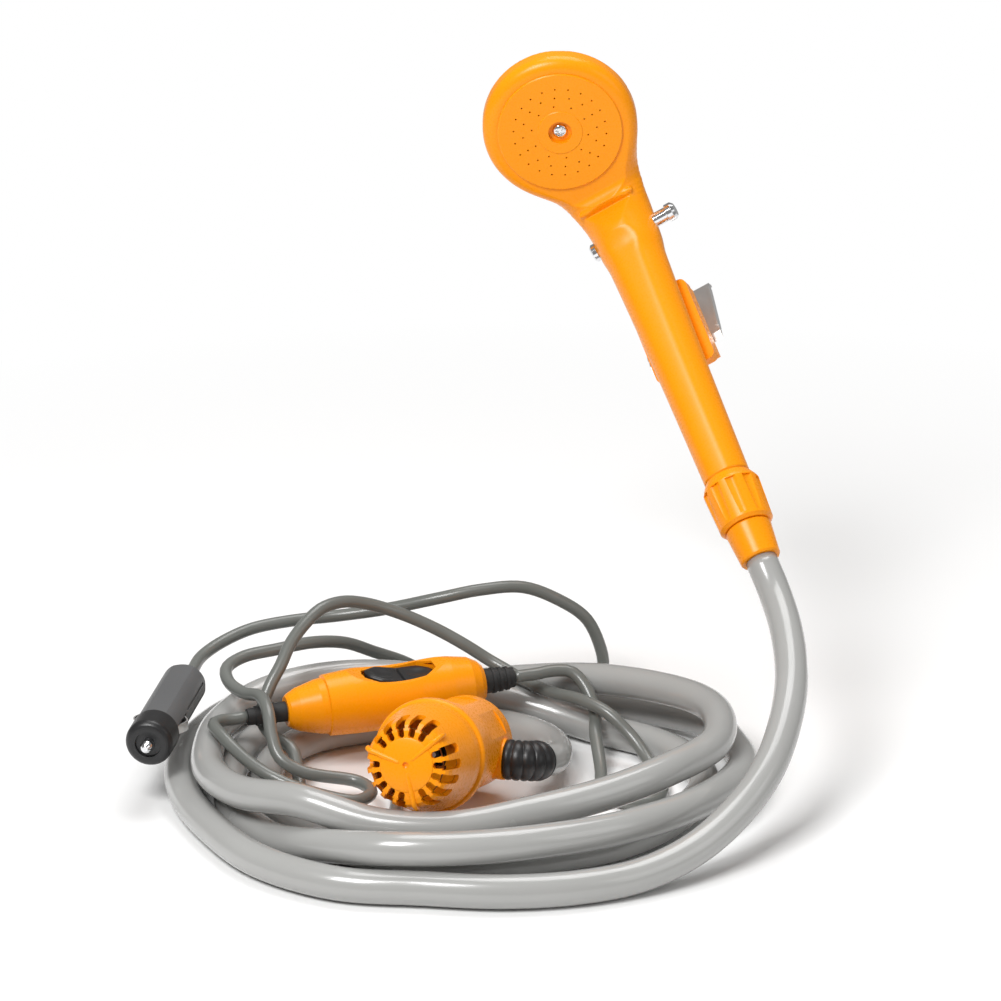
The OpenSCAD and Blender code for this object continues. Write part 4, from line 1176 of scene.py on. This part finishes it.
@dataclass
class CageFront:
    """Raised middle and three ribs on the strainer's front, on the cage's own body."""

    face_z: float = 95.0
    inner_r: float = 0.02
    disc_r: float = 11.2
    disc_rim: float = 0.35
    disc_rise: float = 1.25
    disc_power: float = 0.8
    hole_r: float = 1.35
    hole_blend: float = 0.35
    hole_depth: float = 2.6
    rings: int = 60
    columns: int = 96
    rib_angles: tuple[float, ...] = (45.0, 165.0, 285.0)
    rib_reach: tuple[float, ...] = (3.0, 8.0, 13.0, 16.2, 17.6, 18.4, 18.9)
    rib_height: tuple[float, ...] = (0.9, 0.5, -0.1, -0.45, -1.55, -3.15, -5.75)
    rib_r: float = 1.15
    rib_taper: float = 0.35
    rib_full: float = 0.9
    rib_sides: int = 20
    rib_spacing: float = 0.4

    def disc(self) -> np.ndarray:
        """Grid of the raised middle: a low dome with a small hole sunk into it.

        Returns:
            Array of shape (rings, columns, 3) in pump millimetres.
        """
        radius = np.linspace(self.inner_r, self.disc_r, self.rings)[:, None]
        angle = full_turn(self.columns)[None]
        dome = self.disc_rise * (1 - (radius / self.disc_r) ** 2) ** self.disc_power
        hole = self.hole_depth * np.clip((self.hole_r - radius) / self.hole_blend, 0, 1)
        height = self.face_z + self.disc_rim + dome - hole + 0 * angle
        return np.stack([radius * np.cos(angle), radius * np.sin(angle), height], axis=-1)

    def rib(self, turn: float) -> np.ndarray:
        """Grid of one rib: a round bar, half sunk, that thins to its ends and runs over the rim.

        Args:
            turn: The rib's angle round the pump's axis, in degrees.

        Returns:
            Array of shape (rows, columns, 3) in pump millimetres.
        """
        a = math.radians(turn)
        reach, height = np.array(self.rib_reach), np.array(self.rib_height) + self.face_z
        path = smooth_path(np.stack([reach * math.cos(a), reach * math.sin(a), height], axis=1),
                           self.rib_spacing)
        apart = np.abs(np.linspace(-self.rib_full, 2 - self.rib_full, len(path)))
        return tube_points(path, self.rib_r - self.rib_taper * apart ** 3, self.rib_sides)

    def build(self, box: Paintbox) -> None:
        """Builds the middle and the ribs.

        Args:
            box: The paintbox with the finishes.
        """
        box.dress(grid_mesh("cage_middle", PUMP.put(self.disc())), AMBER, "cage")
        for number, turn in enumerate(self.rib_angles, start=1):
            box.dress(grid_mesh(f"cage_rib_{number}", PUMP.put(self.rib(turn))), AMBER, "cage")


@dataclass
class Rocker:
    """The switch's rocker: a cushion on a rounded octagon, with a dished half to each side."""

    middle: Triple = (6.5, 0.0, 4.0)
    length: float = 31.0
    width: float = 16.0
    corner_cut: float = 4.6
    corner_way: tuple[float, float] = (0.634, 0.772)
    roundness: float = 22.0
    lean: float = 7.0
    crest: float = 5.35
    rise: float = 0.11
    dish_x: float = 8.2
    dish_size: tuple[float, float] = (5.4, 5.0)
    dish_depth: float = 0.75
    dish_power: float = 1.3
    groove_half: float = 0.75
    groove_blend: float = 0.45
    groove_end: float = 0.93
    groove_end_blend: float = 0.05
    groove_depth: float = 0.8
    inner: float = 0.005
    edge_from: float = 0.9
    edge_step: float = 0.01
    top_rings: int = 46
    edge_rings: int = 14
    edge_drop: float = 0.9
    wall_foot: float = 0.6
    wall_draft: float = 0.06
    wall_rows: int = 7
    columns: int = 240

    def outline(self, angle: np.ndarray) -> np.ndarray:
        """Radius of the rounded octagon: the power mean of the distances to its eight sides.

        Args:
            angle: Angles in radians.

        Returns:
            One radius for each angle.
        """
        x, y = np.abs(np.cos(angle)), np.abs(np.sin(angle))
        along, across = self.corner_way
        corner = along * self.length / 2 + across * (self.width / 2 - self.corner_cut)
        sides = np.stack([2 * x / self.length, 2 * y / self.width, (along * x + across * y) / corner])
        return (sides ** self.roundness).sum(axis=0) ** (-1 / self.roundness)

    def top_height(self, x: np.ndarray, y: np.ndarray, share: np.ndarray) -> np.ndarray:
        """Height of the top: two slopes, less two dishes, a groove between and a rounded edge.

        Args:
            x: Distances along the rocker.
            y: Distances across it.
            share: How far out each point is, from 0 in the middle to 1 at the edge.

        Returns:
            The heights.
        """
        height = self.crest + self.rise * np.abs(x)
        for side in (-1, 1):
            apart = np.hypot((x - side * self.dish_x) / self.dish_size[0], y / self.dish_size[1])
            height = height - self.dish_depth * np.clip(1 - apart ** 2, 0, 1) ** self.dish_power
        groove = (np.clip((self.groove_half - np.abs(x)) / self.groove_blend, 0, 1)
                  * np.clip((self.groove_end - share) / self.groove_end_blend, 0, 1))
        edge = np.clip((share - self.edge_from) / (1 - self.edge_from), 0, 1) ** 2
        return height - self.groove_depth * groove - self.edge_drop * edge

    def surface(self) -> np.ndarray:
        """Grid of the cushion: rings out over the top, round the edge and down the wall.

        Returns:
            Array of shape (rings, columns, 3) in switch millimetres.
        """
        angle = full_turn(self.columns)[None]
        share = np.concatenate([np.linspace(self.inner, self.edge_from, self.top_rings),
                                np.linspace(self.edge_from + self.edge_step, 1, self.edge_rings)])
        share = share[:, None]
        radius = share * self.outline(angle)
        x, y = radius * np.cos(angle), radius * np.sin(angle)
        top = np.stack([x, y, self.top_height(x, y, share)], axis=-1)
        down = np.linspace(0, 1, self.wall_rows + 1)[1:, None, None]
        flat = top[-1][None] * np.array([1.0, 1.0, 0]) * (1 - self.wall_draft * down)
        height = top[-1][None, :, 2:] * (1 - down) + self.wall_foot * down
        grid = np.concatenate([top, flat + np.array([0, 0, 1.0]) * height])
        return grid @ turn_matrix((0, self.lean, 0)).T + np.array(self.middle)

    def build(self, box: Paintbox) -> None:
        """Builds the rocker.

        Args:
            box: The paintbox with the finishes.
        """
        piece = grid_mesh("rocker_cushion", SWITCH.put(self.surface()))
        box.dress(piece, BLACK_PLASTIC, "rocker", "rocker")


def main() -> None:
    """Builds the scene in order."""
    logging.basicConfig(level=logging.INFO, format="%(name)s: %(message)s")
    box = Paintbox()
    handset = Handset()
    Studio().build()
    Cords().build(box)
    handset.build(box)
    PlateScrew(handset).build(box)
    Elbow().build(box)
    CageFront().build(box)
    Rocker().build(box)
    box.dress_cad()


if __name__ == "__main__":
    main()
